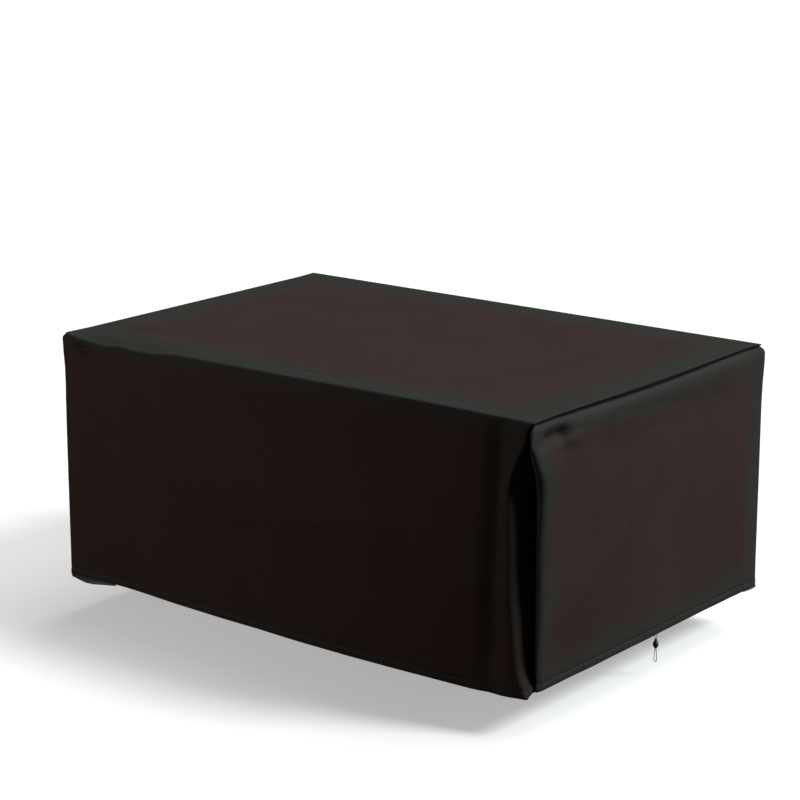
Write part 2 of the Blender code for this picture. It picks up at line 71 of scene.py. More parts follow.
class Side(IntEnum):
    """Long sides of the cover, by their side of Y."""

    BACK = 1
    FRONT = -1


class Face(Enum):
    """Faces of the cover. The long sides are read along X and down, the ends along Y and down."""

    FRONT = "front"
    BACK = "back"
    RIGHT = "right"
    LEFT = "left"
    TOP = "top"


LONG_FACES = {Side.FRONT: Face.FRONT, Side.BACK: Face.BACK}
END_FACES = {End.RIGHT: Face.RIGHT, End.LEFT: Face.LEFT}


@dataclass(frozen=True)
class CoverSize:
    """Sizes that all the cloths share, in metres."""

    length: float = 2.28
    width: float = 1.54
    height: float = 1.00
    cloth: float = 0.002
    hem: float = 0.032
    hem_cloth: float = 0.004
    seam_gap: float = 0.0003
    edge_roll: float = 0.015
    inset_spread: float = 0.15
    end_rounding: float = 0.06
    end_lean: float = 0.3
    corner_spread: float = 0.035
    corner_hang_reach: float = 0.12
    corner_turn_reach: float = 0.03
    clear_of_corner: float = 0.17
    front_edge_reach: float = 0.10
    swell_fade: float = 0.10
    swell_start: float = 0.03
    flare: float = 1.5

    @property
    def half_length(self) -> float:
        """Half of the long side."""
        return self.length / 2

    @property
    def half_width(self) -> float:
        """Half of the short side."""
        return self.width / 2

    @property
    def top(self) -> float:
        """Level of the top's outside."""
        return self.cloth


SIZE = CoverSize()

# Per end: how far in its cloth sits at its top seam and at the corners, and how far that seam sags.
END_INSET = {End.RIGHT: 0.011, End.LEFT: 0.004}
CORNER_INSET = {End.RIGHT: 0.003, End.LEFT: -0.004}
SEAM_SAG = {End.RIGHT: 0.011, End.LEFT: -0.002}


class Fold(NamedTuple):
    """Shape of a corner's fold at one distance down.

    From the corner of the box, the seam lies "seam_along" along the side where the fold opens and
    "seam_in" in from it. That side's cloth turns in at "main_ridge", the other one at "far_ridge".
    """

    down: float
    seam_along: float
    seam_in: float
    main_ridge: float
    far_ridge: float
    main_roll: float
    far_roll: float


CORNER_FOLD = (
    Fold(0.000, 0.007, 0.008, 0.001, 0.005, 0.006, 0.008),
    Fold(0.035, 0.027, 0.008, 0.034, -0.020, 0.008, 0.014),
    Fold(0.080, 0.036, 0.020, 0.044, -0.029, 0.009, 0.022),
    Fold(0.112, 0.046, 0.036, 0.058, -0.020, 0.008, 0.040),
    Fold(0.150, 0.058, 0.060, 0.076, -0.006, 0.008, 0.056),
    Fold(0.210, 0.070, 0.092, 0.100, 0.021, 0.010, 0.060),
    Fold(0.280, 0.074, 0.108, 0.112, 0.035, 0.014, 0.050),
    Fold(0.500, 0.062, 0.100, 0.100, 0.029, 0.018, 0.040),
    Fold(0.700, 0.054, 0.090, 0.082, 0.031, 0.020, 0.040),
    Fold(0.900, 0.040, 0.082, 0.058, 0.022, 0.018, 0.040),
    Fold(1.000, 0.014, 0.066, 0.022, 0.026, 0.010, 0.034),
)


class Shape(NamedTuple):
    """One corner's fold at one level, seen from the long side."""

    seam_along: float
    seam_in: float
    long_ridge: float
    end_ridge: float
    long_roll: float
    end_roll: float
    end_dip: float


class Corner(NamedTuple):
    """How one corner's fold differs: it opens on the long side (0) or on the end (1)."""

    opens_end: float
    fullness: float
    sway: float
    stand: float
    deeper: float
    seam_drop: float
    end_dip: float


CORNERS = {
    (End.RIGHT, Side.FRONT): Corner(0.0, 1.00, 1.0, 0.000, 0.00, -0.018, 0.016),
    (End.LEFT, Side.FRONT): Corner(1.0, 1.10, 0.0, -0.014, 0.09, 0.037, 0.000),
    (End.RIGHT, Side.BACK): Corner(0.0, 0.88, 0.0, -0.018, 0.00, 0.002, 0.006),
    (End.LEFT, Side.BACK): Corner(0.0, 0.95, 0.6, 0.000, 0.02, 0.008, 0.008),
}
# How the folds change down the corners: the share of its roll that a still far ridge keeps, where
# the end cloth's dip at its ridge begins, over what it grows and how far in it reaches, how far out
# from the seam its drop is held and fades, how a deeper fold leans, and where the lower part of the
# skirts begins.
STILL_ROLL = 0.25
DIP_START = 0.08
DIP_GROWTH = 0.20
DIP_REACH = 0.05
DROP_HELD = 0.10
DROP_FADE = 0.35
DEEPER_ASKEW = 0.6
LOWER_PART = 0.60
# Share of a fold's path that is its straight wall, and the most of the wall that its roll takes up.
WALL_SHARE = 0.4
WALL_TURN = 0.6
# Digits by which places are looked up again, the step by which the run of a seam is measured, and a
# level just under the top edge.
KEY_DIGITS = 6
FRAME_DIGITS = 4
FRAME_STEP = 0.005
JUST_DOWN = 1e-6


class Level(NamedTuple):
    """How far an edge stands above its plain level at a place along it."""

    at: float
    rise: float


FRONT_EDGE = table(
    Level,
    (-1.140, 0.000), (-1.099, -0.007), (-1.053, -0.012), (-1.000, -0.018), (-0.950, -0.021),
    (-0.897, -0.021), (-0.850, -0.014), (-0.796, -0.017), (-0.720, -0.018), (-0.650, -0.016),
    (-0.565, -0.006), (-0.460, -0.004), (-0.250, -0.002), (0.040, 0.000), (0.600, 0.004),
    (1.140, 0.002),
)
HEM_LINES = {
    Face.FRONT: table(
        Level,
        (-1.14, -0.011), (-1.00, -0.007), (-0.84, -0.002), (-0.57, -0.010), (-0.25, -0.012),
        (0.27, -0.016), (0.76, -0.016), (0.96, -0.015), (1.03, -0.011), (1.09, -0.008),
        (1.14, -0.008),
    ),
    Face.BACK: table(
        Level, (-1.14, -0.004), (-0.60, -0.012), (0.10, -0.010), (0.70, -0.015), (1.14, -0.001),
    ),
    Face.RIGHT: table(
        Level, (-0.77, 0.011), (-0.30, 0.012), (0.30, 0.012), (0.65, 0.010), (0.77, 0.006),
    ),
    Face.LEFT: table(Level, (-0.77, -0.006), (-0.40, -0.010), (0.20, -0.004), (0.77, -0.003)),
}


class Skirt(NamedTuple):
    """How far out a skirt's hem stands, and where along it that is most."""

    out: float
    middle: float


SKIRTS = {
    Face.FRONT: Skirt(0.026, 0.25),
    Face.BACK: Skirt(0.020, -0.20),
    Face.RIGHT: Skirt(0.004, 0.00),
    Face.LEFT: Skirt(0.012, 0.10),
}


class Crease(NamedTuple):
    """A soft ridge (height over 0) or trough along a face, through points read as its face is."""

    height: float
    width: float
    points: tuple[tuple[float, float], ...]


BROAD_FOLDS = {
    Face.FRONT: (
        Crease(0.006, 0.11, ((-0.76, 0.14), (-0.48, 0.46))),
        Crease(0.005, 0.10, ((-0.48, 0.50), (0.40, 0.54))),
        Crease(0.006, 0.10, ((0.45, 0.48), (0.96, 0.66))),
        Crease(-0.014, 0.038, ((0.990, 0.10), (0.968, 0.50), (0.965, 0.86))),
        Crease(-0.009, 0.040, ((0.990, -0.04), (0.968, 0.50), (0.960, 1.06))),
        Crease(0.003, 0.03, ((1.02, 0.14), (1.01, 0.30))),
        Crease(-0.005, 0.14, ((-0.20, 0.20), (0.60, 0.25))),
        Crease(-0.034, 0.022, ((-1.070, 0.052), (-1.03, 0.060))),
    ),
    Face.BACK: (
        Crease(0.006, 0.12, ((-0.80, 0.20), (-0.30, 0.70))),
        Crease(0.006, 0.12, ((0.15, 0.25), (0.75, 0.60))),
        Crease(-0.005, 0.10, ((-0.10, 0.35), (-0.05, 0.90))),
    ),
    Face.RIGHT: (
        Crease(-0.026, 0.030, ((-0.72, 0.076), (-0.60, 0.070))),
        Crease(-0.011, 0.060, ((-0.72, 0.115), (-0.60, 0.105))),
        Crease(0.004, 0.020, ((-0.62, 0.108), (-0.50, 0.098))),
        Crease(0.006, 0.10, ((-0.46, 0.72), (0.05, 0.30))),
        Crease(-0.006, 0.09, ((-0.30, 0.18), (0.50, 0.17))),
        Crease(0.005, 0.10, ((0.66, 0.45), (0.66, 0.92))),
        Crease(-0.005, 0.10, ((0.20, 0.75), (0.45, 0.42))),
    ),
    Face.LEFT: (
        Crease(0.006, 0.11, ((-0.50, 0.60), (0.10, 0.25))),
        Crease(0.005, 0.10, ((0.20, 0.80), (0.50, 0.30))),
        Crease(-0.006, 0.10, ((-0.20, 0.75), (0.05, 0.95))),
    ),
    Face.TOP: (
        Crease(-0.004, 0.20, ((-0.95, -0.30), (-0.42, 0.05))),
        Crease(-0.005, 0.20, ((0.45, -0.15), (0.90, 0.15))),
        Crease(0.003, 0.15, ((-0.45, 0.45), (0.35, 0.48))),
    ),
}
FINE_CREASES = {
    Face.FRONT: (
        Crease(0.0022, 0.020, ((-0.757, 0.158), (-0.601, 0.294), (-0.483, 0.393), (-0.487, 0.534),
                               (-0.427, 0.624), (-0.229, 0.586))),
        Crease(0.0020, 0.018, ((-0.229, 0.586), (-0.098, 0.573), (0.154, 0.536), (0.350, 0.487),
                               (0.554, 0.459), (0.690, 0.444), (0.859, 0.511), (0.972, 0.544))),
        Crease(-0.0016, 0.022, ((-0.90, 0.40), (-0.70, 0.62), (-0.66, 0.86))),
        Crease(-0.0018, 0.024, ((0.10, 0.70), (0.38, 0.80), (0.52, 0.93))),
    ),
    Face.BACK: (
        Crease(0.0022, 0.020, ((0.80, 0.16), (0.62, 0.33), (0.40, 0.42), (0.33, 0.60))),
        Crease(0.0020, 0.020, ((-0.20, 0.55), (-0.52, 0.47), (-0.85, 0.56))),
        Crease(-0.0018, 0.024, ((-0.92, 0.14), (-0.86, 0.30), (-0.88, 0.52))),
    ),
    Face.RIGHT: (
        Crease(0.0025, 0.022, ((-0.644, 0.087), (-0.520, 0.110))),
        Crease(0.0020, 0.030, ((-0.439, 0.677), (-0.229, 0.549))),
        Crease(-0.0020, 0.026, ((-0.217, 0.061), (0.150, 0.115), (0.520, 0.145))),
        Crease(0.0018, 0.024, ((-0.050, 0.208), (0.115, 0.221))),
        Crease(0.0018, 0.022, ((0.636, 0.632), (0.656, 0.921))),
    ),
    Face.LEFT: (
        Crease(0.0022, 0.022, ((0.55, 0.10), (0.40, 0.24), (0.44, 0.42))),
        Crease(-0.0020, 0.024, ((-0.52, 0.09), (-0.30, 0.15), (0.05, 0.12))),
    ),
    Face.TOP: (
        Crease(0.0016, 0.022, ((-0.38, -0.74), (-0.376, 0.0), (-0.38, 0.74))),
        Crease(-0.0016, 0.022, ((0.39, -0.74), (0.386, 0.0), (0.39, 0.74))),
        Crease(0.0014, 0.022, ((-1.10, 0.012), (0.0, 0.006), (1.10, 0.012))),
        Crease(0.0022, 0.010, ((-1.09, -0.735), (-0.80, -0.728), (-0.50, -0.738), (-0.15, -0.730))),
        Crease(0.0020, 0.010, ((-0.95, -0.690), (-0.62, -0.700), (-0.20, -0.688), (0.25, -0.697))),
        Crease(0.0018, 0.010, ((-0.10, -0.735), (0.30, -0.728), (0.75, -0.735), (1.05, -0.728))),
        Crease(0.0016, 0.011, ((-0.70, -0.655), (-0.25, -0.662), (0.10, -0.650))),
        Crease(0.0030, 0.018, ((-1.10, -0.722), (-0.70, -0.716), (-0.20, -0.722), (0.60, -0.716))),
        Crease(-0.0036, 0.016, ((-1.06, -0.668), (-0.75, -0.673), (-0.40, -0.667), (0.20, -0.671))),
    ),
}


class Ripple(NamedTuple):
    """Uneven lie of the cloth: its height, and how often it turns per metre along and down."""

    height: float
    along: float
    down: float


RIPPLES = (
    Ripple(0.0022, 2.3, 1.0),
    Ripple(0.0012, 6.0, 3.2),
    Ripple(0.0005, 15.0, 11.0),
)
HEM_RIPPLE = Ripple(0.0030, 4.2, 0.8)
TOP_RIPPLE_SHARE = 0.45
# Widths past which a crease has died out, and what sets the ripples of each face and of its hem
# apart.
CREASE_END = 3
FACE_SEED = 7.3
HEM_SEED = 3


def ease(t: float) -> float:
    """Go smoothly from 0 to 1."""
    t = min(max(t, 0.0), 1.0)
    return t * t * (3 - 2 * t)


def mix(start: Any, end: Any, share: float) -> Any:
    """Go a share of the way from start to end."""
    return start + (end - start) * share


def bell(away: float, width: float) -> float:
    """Height of a soft rounded ridge of height 1, at a distance from its middle."""
    return math.exp(-((away / width) ** 2))


def border(away: float, width: float) -> float:
    """Mask of a border that fades inward over its width."""
    return 1 - ease(away / width)


def bend(start: Vector, turn: Vector, end: Vector, t: float) -> Vector:
    """Round a corner: a quadratic curve from start to end that turns at the corner."""
    return start * (1 - t) ** 2 + turn * (2 * t * (1 - t)) + end * t ** 2


def spread(start: float, end: float, step: float) -> list[float]:
    """Share out the way from start to end in even steps, without its first value."""
    count = max(round(abs(end - start) / step), 1)
    return [mix(start, end, part / count) for part in range(1, count + 1)]


class Table:
    """Smooth curves through the columns of a table, read by its first column."""

    def __init__(self, rows: Sequence[Any]) -> None:
        """Keep the rows by column.

        Args:
            rows: Named tuples, in the order of their first value.
        """
        self.keys = [row[0] for row in rows]
        self.columns = {name: [getattr(row, name) for row in rows] for name in rows[0]._fields[1:]}

    def read(self, column: str, at: float) -> float:
        """Read a column between its rows.

        Args:
            column: Name of the column.
            at: Place between the keys; past them the last value holds.

        Returns:
            The value there.
        """
        keys, values = self.keys, self.columns[column]
        if at <= keys[0]:
            return values[0]
        if at >= keys[-1]:
            return values[-1]
        low = bisect_right(keys, at) - 1
        span = keys[low + 1] - keys[low]
        slopes = []
        for place in (low, low + 1):
            before, after = max(place - 1, 0), min(place + 1, len(keys) - 1)
            slopes.append((values[after] - values[before]) / (keys[after] - keys[before]))
        t = (at - keys[low]) / span
        rise = values[low + 1] - values[low]
        curve = span * (slopes[0] * (1 - t) - slopes[1] * t)
        return values[low] + rise * t + t * (1 - t) * (curve - rise * (1 - 2 * t))


class Drape:
    """How the cloths hang: where every point of them lies."""

    def __init__(self, size: CoverSize) -> None:
        """Read the tables.

        Args:
            size: Sizes that the cloths share.
        """
        self.size = size
        self.fold_table = Table(CORNER_FOLD)
        self.edge_table = Table(FRONT_EDGE)
        self.hem_tables = {face: Table(rows) for face, rows in HEM_LINES.items()}
        self.shapes: dict[tuple[End, Side, float], Shape] = {}
        self.seams: dict[tuple[End, Side, float], Vector] = {}
        self.seam_frames: dict[tuple[End, Side, float], tuple[Vector, Vector]] = {}

    def end_inset(self, end: End, down: float, across: float) -> float:
        """Find how far in an end's cloth sits, where it curves over to its top seam.

        Args:
            end: End that the cloth closes.
            down: Distance down from the top.
            across: Distance along the end from its nearer corner.

        Returns:
            The distance in from the end.
        """
        rounding = max(1 - max(down, 0.0) / self.size.end_rounding, 0.0) ** 2
        full = mix(CORNER_INSET[end], END_INSET[end], ease(across / self.size.inset_spread))
        return full * rounding

    def lower_share(self, down: float) -> float:
        """How far a level lies down the lower part of the skirts, from 0 to 1 at the hem."""
        return ease((down - LOWER_PART) / (self.size.height - LOWER_PART))

    def fold(self, end: End, side: Side, down: float) -> Shape:
        """Shape of a corner's fold at a distance down.

        Args:
            end: End that the corner is at.
            side: Long side that it is at.
            down: Distance down from the top; under 0 it is in along the top of the end.

        Returns:
            The fold, seen from the long side.
        """
        key = (end, side, round(down, KEY_DIGITS))
        if key not in self.shapes:
            self.shapes[key] = self.new_fold(end, side, down)
        return self.shapes[key]

    def new_fold(self, end: End, side: Side, down: float) -> Shape:
        """Work out the shape of a corner's fold.

        Args:
            end: End that the corner is at.
            side: Long side that it is at.
            down: Distance down, or under 0 in across the top.

        Returns:
            The fold, seen from the long side.
        """
        corner = CORNERS[end, side]
        grown = ease(down / self.size.corner_spread)
        fullness = mix(1, corner.fullness, grown)
        fold = {name: self.fold_table.read(name, down) * fullness for name in Fold._fields[1:]}
        fold["far_ridge"] = fold["far_ridge"] * mix(1, corner.sway, grown) + corner.stand * grown
        fold["far_roll"] *= mix(1, mix(STILL_ROLL, 1, corner.sway), grown)
        fold["seam_in"] += corner.deeper * self.lower_share(down)
        fold["seam_along"] += corner.deeper * DEEPER_ASKEW * self.lower_share(down)
        if down < 0:
            fold["seam_in"] += SEAM_SAG[end] * math.sin(math.pi * -down / self.size.width) ** 2
        turned = corner.opens_end if down > 0 else 0.0
        shape = []
        for first, second in (("seam_along", "seam_in"), ("main_ridge", "far_ridge"),
                              ("main_roll", "far_roll")):
            shape.append(mix(fold[first], fold[second], turned))
            shape.append(mix(fold[second], fold[first], turned))
        made = Shape(*shape, corner.end_dip * ease((down - DIP_START) / DIP_GROWTH))
        inset = self.end_inset(end, down, max(-down, 0.0))
        return made._replace(seam_along=made.seam_along + inset, long_ridge=made.long_ridge + inset)

    def profile(self, side: Side, down: float) -> tuple[Vector, Vector]:
        """Section of the long cloth across Y and Z where nothing else bends it.

        Args:
            side: Long side that it belongs to.
            down: Distance down the skirt, or under 0 the distance in across the top.

        Returns:
            The point and the way in.
        """
        half, top, roll = self.size.half_width, self.size.top, self.size.edge_roll
        low, edge = Vector((-half, top - roll)), Vector((-half, top))
        flat = Vector((-half + roll, top))
        if down >= roll:
            point, inward = Vector((-half, top - down)), Vector((1, 0))
        elif down <= -roll:
            point, inward = Vector((-half - down, top)), Vector((0, -1))
        else:
            t = (roll - down) / (2 * roll)
            point = bend(low, edge, flat, t)
            run = ((edge - low) * (1 - t) + (flat - edge) * t).normalized()
            inward = Vector((run.y, -run.x))
        return Vector((-side * point.x, point.y)), Vector((-side * inward.x, inward.y))

    @staticmethod
    def path(seam: tuple[float, float], ridge: float, roll: float, t: float) -> Vector:
        """Way from the seam out to the ridge and on along the side.

        Args:
            seam: Place of the seam, as along and in.
            ridge: Place along the side of the ridge.
            roll: How softly the cloth turns there.
            t: Share of the way.

        Returns:
            The place, as along and in.
        """
        start, peak = Vector(seam), Vector((ridge, 0))
        wall = start - peak
        turn = peak + wall.normalized() * min(roll, WALL_TURN * wall.length)
        if t <= WALL_SHARE:
            return start.lerp(turn, t / WALL_SHARE)
        return bend(turn, peak, peak + Vector((roll, 0)), (t - WALL_SHARE) / (1 - WALL_SHARE))

    def place(self, seam: tuple[float, float], ridge: float, roll: float, reach: float,
              dip: float = 0.0) -> tuple[Vector, float]:
        """Place beside a corner, as along and in, and how clear of the fold it is.

        Args:
            seam: Place of the seam, as along and in.
            ridge: Place along the side of the ridge.
            roll: How softly the cloth turns there.
            reach: To 1 the share of the fold's path, to 2 the way on to where the fold ends, and
                from there metres on.
            dip: How far in the cloth curves at its ridge.

        Returns:
            The place and a share from 0 at the seam to 1.
        """
        if reach <= 1:
            place = self.path(seam, ridge, roll, reach)
        else:
            clear = self.size.clear_of_corner
            along = mix(ridge + roll, clear, reach - 1) if reach <= 2 else clear + reach - 2
            place = Vector((along, 0))
        place.y += dip * max(1 - (place.x - ridge) / DIP_REACH, 0.0) ** 2
        return place, ease(reach)

    def station(self, reach: float) -> float:
        """Find where an end cloth's line meets its top seam.

        Args:
            reach: Reach of the line, as place reads it.

        Returns:
            Its distance in from the long edge.
        """
        roll, clear = self.size.edge_roll, self.size.clear_of_corner
        if reach <= 1:
            return roll * reach
        return mix(roll, clear, reach - 1) if reach <= 2 else clear + reach - 2

    def raw_long(self, end: End, side: Side, down: float, along: float, inward: float) -> Vector:
        """Find a point of the long cloth on its plain shape.

        Args:
            end: End that it is nearer to.
            side: Long side that it belongs to.
            down: Distance down, or under 0 in across the top.
            along: Distance along the side from the corner.
            inward: Distance in from the side.

        Returns:
            The point.
        """
        middle, way_in = self.profile(side, down)
        across = middle + way_in * inward
        return Vector((end * (self.size.half_length - along), across.x, across.y))

    def shift(self, face: Face, place: float, down: float) -> tuple[float, float]:
        """Find how far a skirt stands out and how far it hangs.

        Args:
            face: Face of the skirt.
            place: Place along it.
            down: Distance down it.

        Returns:
            The way out and the way down.
        """
        skirt = SKIRTS[face]
        half = self.size.half_length if face in LONG_FACES.values() else self.size.half_width
        share = max(down, 0.0) / self.size.height
        away = min(abs(place - skirt.middle) / (half + abs(skirt.middle)), 1)
        out = skirt.out * math.cos(math.pi / 2 * away) ** 2 * share ** self.size.flare
        return out, -self.hem_tables[face].read("rise", place) * share ** 2

    @staticmethod
    def crease_height(creases: Sequence[Crease], a: float, b: float) -> float:
        """Add up a face's ridges and troughs at one of its points.

        Args:
            creases: The ridges and troughs.
            a: Place along the face.
            b: Place down it, or on the top along Y.

        Returns:
            Their height.
        """
        height = 0.0
        for crease in creases:
            nearest = math.inf
            for (from_a, from_b), (to_a, to_b) in zip(crease.points, crease.points[1:]):
                run_a, run_b = to_a - from_a, to_b - from_b
                along = ((a - from_a) * run_a + (b - from_b) * run_b) / (run_a ** 2 + run_b ** 2)
                along = min(max(along, 0.0), 1.0)
                away = math.hypot(a - from_a - run_a * along, b - from_b - run_b * along)
                nearest = min(nearest, away)
            if nearest < CREASE_END * crease.width:
                height += crease.height * bell(nearest, crease.width)
        return height

    def uneven(self, face: Face, a: float, b: float) -> float:
        """Add up everything that makes a face uneven at one of its points.

        Args:
            face: The face.
            a: Place along it.
            b: Place down it, or on the top along Y.

        Returns:
            The height.
        """
        height = self.crease_height(BROAD_FOLDS[face], a, b)
        height += self.crease_height(FINE_CREASES[face], a, b)
        seed = list(Face).index(face) * FACE_SEED
        share = TOP_RIPPLE_SHARE if face is Face.TOP else 1.0
        for ripple in RIPPLES:
            turns = Vector((a * ripple.along, b * ripple.down, seed))
            height += share * ripple.height * noise.noise(turns)
        if face is not Face.TOP:
            turns = Vector((a * HEM_RIPPLE.along, b * HEM_RIPPLE.down, seed + HEM_SEED))
            height += HEM_RIPPLE.height * max(b, 0.0) ** 2 * noise.noise(turns)
        return height

    def settle_long(self, point: Vector, end: End, side: Side, down: float, clear: float,
                    free: float) -> Vector:
        """Lay the long cloth's soft unevenness over its plain shape.

        Args:
            point: The plain point.
            end: End that it is nearer to.
            side: Long side that it belongs to.
            down: Distance down the skirt, or under 0 in across the top.
            clear: How clear of the fold it is.
            free: How free it is of the seam.

        Returns:
            The settled point.
        """
        size = self.size
        if down > 0:
            face = LONG_FACES[side]
            out, fall = self.shift(face, point.x, down)
            swell = self.uneven(face, point.x, down) * ease(down / size.swell_start)
            point.y += side * (out + swell) * free
            drop = CORNERS[end, side].seam_drop * self.lower_share(down)
            point.z -= fall + drop * (1 - ease((clear - DROP_HELD) / DROP_FADE))
        else:
            swell = self.uneven(Face.TOP, point.x, point.y)
            point.z += swell * free * ease(-down / size.swell_fade)
        if side == Side.FRONT:
            rise = self.edge_table.read("rise", point.x)
            point.z += rise * ease(1 - abs(down) / size.front_edge_reach)
        return point

    def seam(self, end: End, side: Side, down: float) -> Vector:
        """Find a point of the seam that both cloths share.

        Args:
            end: End that it is at.
            side: Long side that it is at.
            down: Distance down, or under 0 in across the top.

        Returns:
            The point.
        """
        key = (end, side, round(down, KEY_DIGITS))
        if key not in self.seams:
            shape = self.fold(end, side, down)
            point = self.raw_long(end, side, down, shape.seam_along, shape.seam_in)
            self.seams[key] = self.settle_long(point, end, side, down, 0.0, 0.0)
        return self.seams[key].copy()

    def long_point(self, end: End, side: Side, down: float, reach: float) -> Vector:
        """Find a point of the long cloth as it hangs.

        Args:
            end: End that it is nearer to.
            side: Long side that it belongs to.
            down: Distance down, or under 0 in across the top.
            reach: Reach of its line, as place reads it.

        Returns:
            The point.
        """
        if reach == 0:
            return self.seam(end, side, down)
        shape = self.fold(end, side, down)
        seam = (shape.seam_along, shape.seam_in)
        place, clear = self.place(seam, shape.long_ridge, shape.long_roll, reach)
        point = self.raw_long(end, side, down, *place)
        free = clear * ease(place.x / self.size.swell_fade)
        return self.settle_long(point, end, side, down, clear, free)

    def raw_end(self, end: End, side: Side, down: float, reach: float) -> Vector:
        """Find a point of an end cloth before its top is drawn to the seam.

        Args:
            end: End that it is at.
            side: Long side that it is nearer to.
            down: Distance down.
            reach: Reach of its line, as place reads it.

        Returns:
            The point.
        """
        size = self.size
        shape = self.fold(end, side, max(down, JUST_DOWN))
        seam = (shape.seam_in, shape.seam_along - self.end_inset(end, down, 0.0))
        place, clear = self.place(seam, shape.end_ridge, shape.end_roll, reach, shape.end_dip)
        inset = self.end_inset(end, down, place.x)
        y = side * (size.half_width - place.x)
        face = END_FACES[end]
        out, fall = self.shift(face, y, down)
        out = (out + self.uneven(face, y, down) * ease(down / size.swell_start)) * clear
        out *= ease(place.x / size.swell_fade)
        hang = size.top - self.seam(end, side, -self.station(reach)).z
        fall += hang * ease(1 - down / size.corner_hang_reach)
        seam_fall = size.top - down - self.seam(end, side, down).z
        z = size.top - down - mix(seam_fall, fall, clear)
        return Vector((end * (size.half_length - inset - place.y + out), y, z))

    def end_point(self, end: End, side: Side, down: float, reach: float) -> Vector:
        """Find a point of an end cloth as it hangs.

        Args:
            end: End that it is at.
            side: Long side that it is nearer to.
            down: Distance down.
            reach: Reach of its line, as place reads it.

        Returns:
            The point.
        """
        if reach == 0:
            return self.seam(end, side, down)
        top = self.seam(end, side, -self.station(reach))
        if down == 0:
            return top
        point = self.raw_end(end, side, down, reach)
        turn = 1 - ease(down / self.size.corner_turn_reach)
        return point + (top - self.raw_end(end, side, 0.0, reach)) * turn if turn else point

    def seam_frame(self, end: End, side: Side, down: float) -> tuple[Vector, Vector]:
        """Find the ways square to the seam at one place of it.

        Args:
            end: End that it is at.
            side: Long side that it is at.
            down: Distance down, or under 0 in across the top.

        Returns:
            The way in, and the way from the end cloth to the long cloth.
        """
        key = (end, side, round(down, FRAME_DIGITS))
        if key not in self.seam_frames:
            self.seam_frames[key] = self.new_seam_frame(end, side, down)
        return self.seam_frames[key]

    def new_seam_frame(self, end: End, side: Side, down: float) -> tuple[Vector, Vector]:
        """Work out the ways square to the seam at one place of it.

        Args:
            end: End that it is at.
            side: Long side that it is at.
            down: Distance down, or under 0 in across the top.

        Returns:
            The way in, and the way from the end cloth to the long cloth.
        """
        above = self.seam(end, side, down - FRAME_STEP)
        below = self.seam(end, side, down + FRAME_STEP)
        run = (above - below).normalized() * -side
        shape = self.fold(end, side, down)
        seam = (shape.seam_along, shape.seam_in)
        beside = self.path(seam, shape.long_ridge, shape.long_roll, WALL_SHARE / 2)
        start = self.raw_long(end, side, down, *seam)
        to_long = (self.raw_long(end, side, down, *beside) - start).normalized()
        to_end = Vector((end * self.size.end_lean, 0, -1)).normalized()
        if down > 0:
            turned = seam[::-1]
            beside = self.path(turned, shape.end_ridge, shape.end_roll, WALL_SHARE / 2)
            away = beside - Vector(turned)
            level = Vector((-end * away.y, -side * away.x, 0)).normalized()
            to_end = level.lerp(to_end, ease(1 - down / self.size.edge_roll)).normalized()
        apart = to_long - to_end
        apart = (apart - run * apart.dot(run)).normalized()
        return apart.cross(run).normalized() * end, apart


DRAPE = Drape(SIZE)


class Line:
    """Points joined in a row, read by the distance along them."""

    def __init__(self, points: Sequence[Vector]) -> None:
        """Measure the way to each point.

        Args:
            points: The points.
        """
        self.points = points
        self.lengths = [0.0]
        for first, second in zip(points, points[1:]):
            self.lengths.append(self.lengths[-1] + (second - first).length)

    @property
    def length(self) -> float:
        """Length from end to end."""
        return self.lengths[-1]

    def at(self, distance: float) -> Vector:
        """Find the point at a distance along.

        Args:
            distance: The distance.

        Returns:
            The point.
        """
        low = min(bisect_right(self.lengths, distance) - 1, len(self.points) - 2)
        share = (distance - self.lengths[low]) / (self.lengths[low + 1] - self.lengths[low])
        return self.points[low].lerp(self.points[low + 1], share)


def both_ways(near: Any, far: Any, values: Sequence[float]) -> list[Any]:
    """Lines from the near side to the far one, which share the last value in the middle."""
    return [(near, value) for value in values] + [(far, value) for value in reversed(values[:-1])]


def write_flat_uv(bm: bmesh.types.BMesh) -> None:
    """Turn the layer "flat_place" into the UV map that the finishes read, in metres.

    Args:
        bm: Mesh that has the layer.
    """
    flat = bm.verts.layers.float_vector["flat_place"]
    uv = bm.loops.layers.uv.new("flat")
    for face in bm.faces:
        for loop in face.loops:
            loop[uv].uv = loop.vert[flat].xy
    bm.verts.layers.float_vector.remove(flat)


class Wire:
    """A node's output that can be used in arithmetic."""

    def __init__(self, plan: "NodePlan", socket: bpy.types.NodeSocket) -> None:
        """Wrap a socket of a plan's tree."""
        self.plan = plan
        self.socket = socket

    def maths(self, operation: str, *values: Any) -> "Wire":
        """Add a Math node.

        Args:
            operation: Name of the operation.
            values: Wires or numbers that it works on.

        Returns:
            Its result.
        """
        return self.plan.add("ShaderNodeMath", {"operation": operation}, dict(enumerate(values)))

    def __add__(self, other: Any) -> "Wire":
        """Sum."""
        return self.maths("ADD", self, other)

    def __sub__(self, other: Any) -> "Wire":
        """Difference."""
        return self.maths("SUBTRACT", self, other)

    def __rsub__(self, other: Any) -> "Wire":
        """Difference, turned round."""
        return self.maths("SUBTRACT", other, self)

    def __mul__(self, other: Any) -> "Wire":
        """Product."""
        return self.maths("MULTIPLY", self, other)

    __radd__ = __add__
    __rmul__ = __mul__

    def wave(self, pitch: float) -> "Wire":
        """Sine that repeats at every pitch."""
        return self.maths("SINE", self * (2 * math.pi / pitch))

    def between(self, span: "Span") -> "Wire":
        """Smooth mask that is 0 up to the span and 1 from its end."""
        values = {"Value": self, "From Min": span.low, "From Max": span.high}
        return self.plan.add("ShaderNodeMapRange", {"interpolation_type": "SMOOTHSTEP"}, values)


